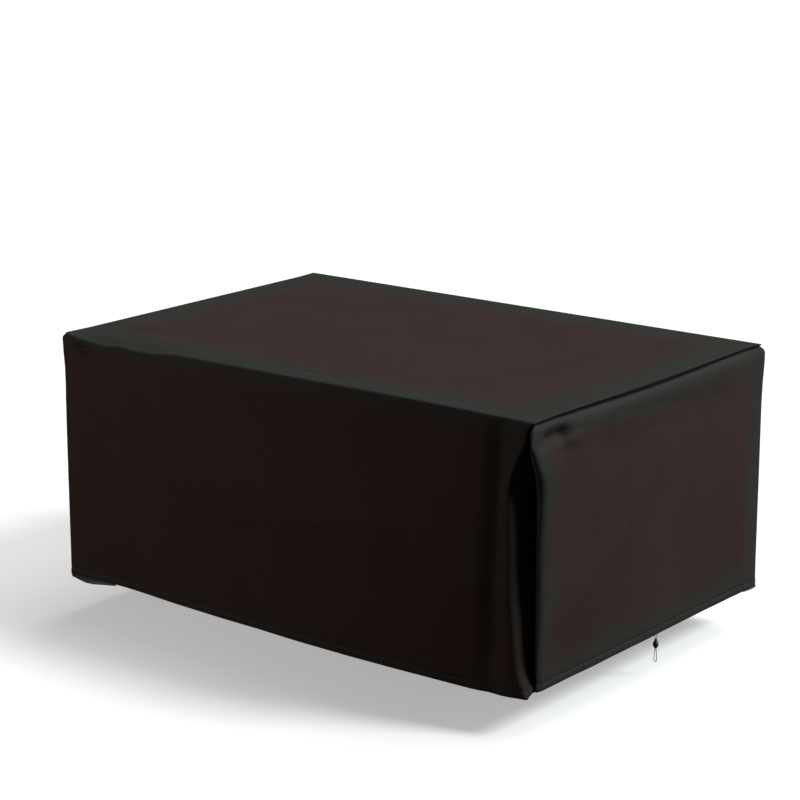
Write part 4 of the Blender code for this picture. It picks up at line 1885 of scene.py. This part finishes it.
@dataclass(frozen=True)
class HemStitching:
    """Lockstitches in the groove of a cloth's hem."""

    pitch: float = 0.0055
    length: float = 0.0042
    thread: float = 0.0009
    proud: float = -0.0011
    margin: float = 0.005
    sides: int = 6
    rings: int = 4
    smooth_angle: float = 60.0

    def lays(self, line: Sequence[Vector], outward: Vector) -> list[Matrix]:
        """Lay stitches along a line.

        Args:
            line: Points of the line.
            outward: Way that the stitches face.

        Returns:
            Where each stitch lies, as what turns a ball of radius 1 into it.
        """
        way = Line(line)
        stretch = Matrix.Diagonal((self.length / 2, self.thread / 2, self.thread / 2, 1))
        lays = []
        for count in range(int((way.length - 2 * self.margin) / self.pitch)):
            begin = self.margin + count * self.pitch
            start, end = way.at(begin), way.at(begin + self.length)
            run = (end - start).normalized()
            side = run.cross(Vector((0, 0, 1))).normalized()
            if side.dot(outward) < 0:
                side.negate()
            turn = Matrix((run, side, run.cross(side))).transposed().to_4x4()
            middle = Matrix.Translation((start + end) / 2 + side * self.proud)
            lays.append(middle @ turn @ stretch)
        return lays

    def build(self, cloth: Cloth, name: str, rows: Sequence[tuple[Any, Vector]],
              thread: bpy.types.Material) -> bpy.types.Object:
        """Stitch the hems of a cloth.

        Args:
            cloth: The cloth.
            name: Name of the stitching.
            rows: Each stitched line of the cloth's grid, and the way that it faces.
            thread: Material of the thread.

        Returns:
            The stitching.
        """
        lays: list[Matrix] = []
        for row, outward in rows:
            lays += self.lays([cloth.point(column, row) for column in cloth.columns()], outward)
        bm = bmesh.new()
        number = bm.verts.layers.int.new("number")
        turn = Matrix.Rotation(math.pi / 2, 4, "Y")
        bmesh.ops.create_uvsphere(bm, u_segments=self.sides, v_segments=self.rings, radius=1,
                                  matrix=turn)
        count = 1
        while count < len(lays):
            copies = bmesh.ops.duplicate(bm, geom=bm.verts[:] + bm.edges[:] + bm.faces[:])
            for item in copies["geom"]:
                if isinstance(item, bmesh.types.BMVert):
                    item[number] += count
            count *= 2
        spare = [vert for vert in bm.verts if vert[number] >= len(lays)]
        bmesh.ops.delete(bm, geom=spare, context="VERTS")
        for vert in bm.verts:
            vert.co = lays[vert[number]] @ vert.co
        bm.verts.layers.int.remove(number)
        return new_piece(name, bm, [thread], self.smooth_angle)


class Route(NamedTuple):
    """Point of the cord: how far aside its strand is, its turn in degrees, and how far down."""

    aside: float
    turn: float
    down: float


@dataclass(frozen=True)
class DrawCord:
    """Loop of cord that hangs below the hem of the right end."""

    diameter: float = 0.0025
    y: float = 0.037
    lock_turn: float = 52.0
    end_down: float = 0.1065
    step: float = 0.002
    fit: float = 0.0008
    sides: int = 14
    curve_steps: int = 12
    weld: float = 0.00001
    smooth_angle: float = 60.0

    def route(self) -> tuple[Route, ...]:
        """List the points of one strand.

        Returns:
            The points, from the hem down.
        """
        turn = self.lock_turn
        return table(
            Route,
            (0.0080, 0.0, 0.000), (0.0078, 0.0, 0.003), (0.0056, 14.0, 0.008),
            (0.0028, 34.0, 0.013), (0.0016, 48.0, 0.018), (0.0015, turn, 0.026),
            (0.0015, turn, 0.040), (0.0016, turn, 0.053), (0.0026, turn, 0.063),
            (0.0038, turn, 0.074), (0.0048, turn, 0.086), (0.0052, turn, 0.098),
            (0.0037, turn, 0.1045),
        )

    def hem_bottom(self) -> Vector:
        """Find the place in the middle of the hem's thickness under which the cord hangs.

        Returns:
            The place.
        """
        out, fall = DRAPE.shift(Face.RIGHT, self.y, SIZE.height)
        out += DRAPE.crease_height(BROAD_FOLDS[Face.RIGHT], self.y, SIZE.height)
        x = SIZE.half_length + out - SIZE.hem_cloth / 2
        return Vector((x, self.y, SIZE.top - SIZE.height - fall))

    def strand_point(self, place: Route, sign: int) -> Vector:
        """Find a point of one strand or the other, below the hem.

        Args:
            place: Its row of the route.
            sign: Which strand.

        Returns:
            The point, from the hem.
        """
        turn = math.radians(place.turn)
        aside = sign * place.aside
        return Vector((aside * math.sin(turn), aside * math.cos(turn), -place.down))

    def centre_line(self) -> Line:
        """Draw the cord's line, down one strand and up the other.

        Returns:
            The line, with its points at even steps.
        """
        root = self.hem_bottom() - Vector((0, 0, self.fit))
        down = [root + self.strand_point(place, -1) for place in self.route()]
        up = [root + self.strand_point(place, 1) for place in reversed(self.route())]
        points = down + [root - Vector((0, 0, self.end_down))] + up
        dense = []
        for low, (start, end) in enumerate(zip(points, points[1:])):
            before, after = points[max(low - 1, 0)], points[min(low + 2, len(points) - 1)]
            for part in range(self.curve_steps):
                t = part / self.curve_steps
                bow = (end - before) / 2 * (1 - t) - (after - start) / 2 * t
                bow -= (end - start) * (1 - 2 * t)
                dense.append(start.lerp(end, t) + bow * (t * (1 - t)))
        line = Line(dense + [points[-1]])
        count = round(line.length / self.step)
        return Line([line.at(line.length * part / count) for part in range(count + 1)])

    def build(self, braid: bpy.types.Material) -> tuple[bpy.types.Object, Line]:
        """Make the cord as a tube round its line.

        Args:
            braid: Material of the cord.

        Returns:
            The cord and its line.
        """
        way = self.centre_line()
        line, last = way.points, len(way.points) - 1
        bm = bmesh.new()
        bmesh.ops.create_grid(bm, x_segments=self.sides, y_segments=last, size=1)
        flat = bm.verts.layers.float_vector.new("flat_place")
        runs = [(line[min(low + 1, last)] - line[max(low - 1, 0)]).normalized()
                for low in range(last + 1)]
        frames = [runs[0].orthogonal().normalized()]
        for run in runs[1:]:
            frames.append((frames[-1] - run * frames[-1].dot(run)).normalized())
        for vert in bm.verts:
            low = round((vert.co.y + 1) / 2 * last)
            turn = (vert.co.x + 1) * math.pi
            out, aside = frames[low], runs[low].cross(frames[low])
            vert[flat] = (low * self.step, turn * self.diameter / 2, 0)
            around = out * math.cos(turn) + aside * math.sin(turn)
            vert.co = line[low] + around * self.diameter / 2
        write_flat_uv(bm)
        bmesh.ops.remove_doubles(bm, verts=bm.verts[:], dist=self.weld)
        ends = [edge for edge in bm.edges if edge.is_boundary]
        bmesh.ops.holes_fill(bm, edges=ends, sides=0)
        bmesh.ops.recalc_face_normals(bm, faces=bm.faces[:])
        return new_piece("hem_draw_cord", bm, [braid], self.smooth_angle), way


class Turning(NamedTuple):
    """Point of a turned outline."""

    below: float
    radius: float


BARREL = table(
    Turning,
    (0.0000, 0.0041), (0.0004, 0.0046), (0.0015, 0.0051), (0.0035, 0.0053), (0.0060, 0.0056),
    (0.0085, 0.0065), (0.0110, 0.0078), (0.0135, 0.0091), (0.0160, 0.0102), (0.0185, 0.0108),
    (0.0205, 0.0110), (0.0209, 0.0107), (0.0213, 0.0110), (0.0235, 0.0108), (0.0260, 0.0102),
    (0.0285, 0.0090), (0.0310, 0.0076), (0.0335, 0.0062), (0.0350, 0.0056), (0.0356, 0.0052),
    (0.0360, 0.0046),
)


@dataclass(frozen=True)
class CordLock:
    """Barrel cord lock with a sprung press button."""

    top: float = 0.0175
    bore: float = 0.0033
    bore_chamfer: float = 0.0004
    sides: int = 48
    button_below: float = 0.021
    button_radius: float = 0.0045
    button_start: float = 0.0062
    button_end: float = 0.0135
    button_bevel: float = 0.0008
    bevel_steps: int = 3
    button_dish: tuple[tuple[float, float], ...] = (
        (0.0006, 0.0), (0.0008, -0.0003), (0.0008, -0.0002))
    socket_past: float = 0.002
    fit: float = 0.0003
    weld: float = 0.000001
    smooth_angle: float = 35.0

    def origin(self, cord: DrawCord) -> Vector:
        """Top of the lock."""
        return cord.hem_bottom() - Vector((0, 0, self.top))

    def bar(self, cord: DrawCord, radius: float, start: float, end: float) -> bmesh.types.BMesh:
        """Round bar that points sideways out of the lock, square to the strands.

        Args:
            cord: Cord that the lock holds.
            radius: Radius of the bar.
            start: Where it begins, out from the lock's middle.
            end: Where it ends.

        Returns:
            Its mesh.
        """
        bm = bmesh.new()
        bmesh.ops.create_cone(bm, cap_ends=True, segments=self.sides, radius1=radius,
                              radius2=radius, depth=end - start,
                              matrix=Matrix.Translation((0, 0, (start + end) / 2)))
        turn = Matrix.Rotation(math.radians(-cord.lock_turn), 4, "Z")
        aim = turn @ Matrix.Rotation(math.pi / 2, 4, "Y")
        middle = self.origin(cord) - Vector((0, 0, self.button_below))
        bm.transform(Matrix.Translation(middle) @ aim)
        return bm

    def build_barrel(self, cord: DrawCord, plastic: bpy.types.Material) -> bpy.types.Object:
        """Turn the barrel, bored for both strands and with a socket for its button.

        Args:
            cord: Cord that the lock holds.
            plastic: Material of the lock.

        Returns:
            The barrel.
        """
        bm = bmesh.new()
        origin = self.origin(cord)
        places = [Vector((row.radius, 0, -row.below)) for row in BARREL]
        low, edge = BARREL[-1].below, self.bore_chamfer
        places += [Vector((self.bore + edge, 0, -low)), Vector((self.bore, 0, -low + edge)),
                   Vector((self.bore, 0, -edge)), Vector((self.bore + edge, 0, 0))]
        verts = [bm.verts.new(origin + place) for place in places]
        edges = [bm.edges.new((verts[index], verts[index - 1])) for index in range(len(verts))]
        bmesh.ops.spin(bm, geom=verts + edges, cent=origin, axis=(0, 0, 1), angle=2 * math.pi,
                       steps=self.sides, use_merge=True)
        bmesh.ops.remove_doubles(bm, verts=bm.verts[:], dist=self.weld)
        bmesh.ops.recalc_face_normals(bm, faces=bm.faces[:])
        barrel = new_piece("cord_lock_barrel", bm, [plastic], self.smooth_angle)
        hollow = self.bar(cord, self.button_radius + self.fit, self.button_start - self.fit,
                          self.button_end + self.socket_past)
        cutter = new_piece("cord_lock_socket", hollow, [plastic], self.smooth_angle)
        socket = barrel.modifiers.new("socket", "BOOLEAN")
        socket.operation = "DIFFERENCE"
        socket.solver = "EXACT"
        socket.object = cutter
        bpy.context.view_layer.update()
        cut_barrel = barrel.evaluated_get(bpy.context.evaluated_depsgraph_get())
        cut = bpy.data.meshes.new_from_object(cut_barrel)
        barrel.modifiers.clear()
        barrel.data = cut
        cut.shade_smooth()
        cut.set_sharp_from_angle(angle=math.radians(self.smooth_angle))
        bpy.data.objects.remove(cutter, do_unlink=True)
        return barrel

    def build_button(self, cord: DrawCord, plastic: bpy.types.Material) -> bpy.types.Object:
        """Make the press button, with a rounded tip and a dished face.

        Args:
            cord: Cord that the lock holds.
            plastic: Material of the lock.

        Returns:
            The button.
        """
        bm = self.bar(cord, self.button_radius, self.button_start, self.button_end)
        turn = math.radians(cord.lock_turn)
        out = Vector((math.cos(turn), -math.sin(turn), 0))

        def tip() -> bmesh.types.BMFace:
            """Cap at the outer end, which has more than the four sides of the wall's faces."""
            caps = (face for face in bm.faces if len(face.verts) > 4)
            return max(caps, key=lambda face: face.calc_center_median().dot(out))

        bmesh.ops.bevel(bm, geom=list(tip().edges), offset=self.button_bevel, offset_type="OFFSET",
                        segments=self.bevel_steps, profile=0.5, affect="EDGES",
                        clamp_overlap=True, material=-1)
        cap = tip()
        for thickness, depth in self.button_dish:
            bmesh.ops.inset_individual(bm, faces=[cap], thickness=thickness, depth=depth)
        bmesh.ops.recalc_face_normals(bm, faces=bm.faces[:])
        return new_piece("cord_lock_button", bm, [plastic], self.smooth_angle)


@dataclass(frozen=True)
class PatioCover:
    """The whole cover, built in order."""

    long_cloth: LongCloth = LongCloth(
        "cover_long_cloth", "long_cloth", flat=(2.42, 3.68), seam_side=1, line_step=0.0162)
    right_end: EndCloth = EndCloth(
        "cover_end_cloth_right", "end_cloth_right", flat=(1.62, 1.03), seam_side=-1,
        line_step=0.0105, end=End.RIGHT)
    left_end: EndCloth = EndCloth(
        "cover_end_cloth_left", "end_cloth_left", flat=(1.62, 1.03), seam_side=-1,
        line_step=0.0105, end=End.LEFT)
    stitching: HemStitching = HemStitching()
    cord: DrawCord = DrawCord()
    lock: CordLock = CordLock()

    def build_cord(self) -> None:
        """Make the cord and its lock, attach them to the cover's body, and hide the CAD parts that
        they stand for.
        """
        cord, line = self.cord.build(BraidedCord().make())
        plastic = MouldedPlastic().make()
        barrel = self.lock.build_barrel(self.cord, plastic)
        button = self.lock.build_button(self.cord, plastic)
        for piece, node, slot in ((cord, "draw_cord", "draw_cord"),
                                  (barrel, "lock_shell", "lock_plastic"),
                                  (button, "lock_button", "lock_plastic")):
            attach(piece, ROOT)
            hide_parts(node)

    def build_cloths(self) -> None:
        """Make the three cloths with their hem stitching."""
        finishes = [CoverCloth().make(), InnerCoating().make()]
        thread = SewingThread().make()
        groove = SIZE.height - self.long_cloth.hem_groove
        long_rows = [((side, groove), Vector((0, side, 0))) for side in (Side.FRONT, Side.BACK)]
        jobs: list[tuple[Cloth, str, list[Any]]] = [
            (self.long_cloth, "hem_stitches_long", long_rows),
            (self.right_end, "hem_stitches_right", [((groove,), Vector((1, 0, 0)))]),
            (self.left_end, "hem_stitches_left", [((groove,), Vector((-1, 0, 0)))]),
        ]
        for cloth, name, rows in jobs:
            piece = cloth.build(finishes)
            stitches = self.stitching.build(cloth, name, rows, thread)
            cloth.declare(piece, stitches)


def main() -> None:
    """Build the studio and the cover, in order."""
    logging.basicConfig(level=logging.INFO, format="%(message)s")
    studio = Studio()
    studio.build_camera()
    cover = PatioCover()
    cover.build_cord()
    cover.build_cloths()
    studio.build_floor()
    studio.build_light()


if __name__ == "__main__":
    main()
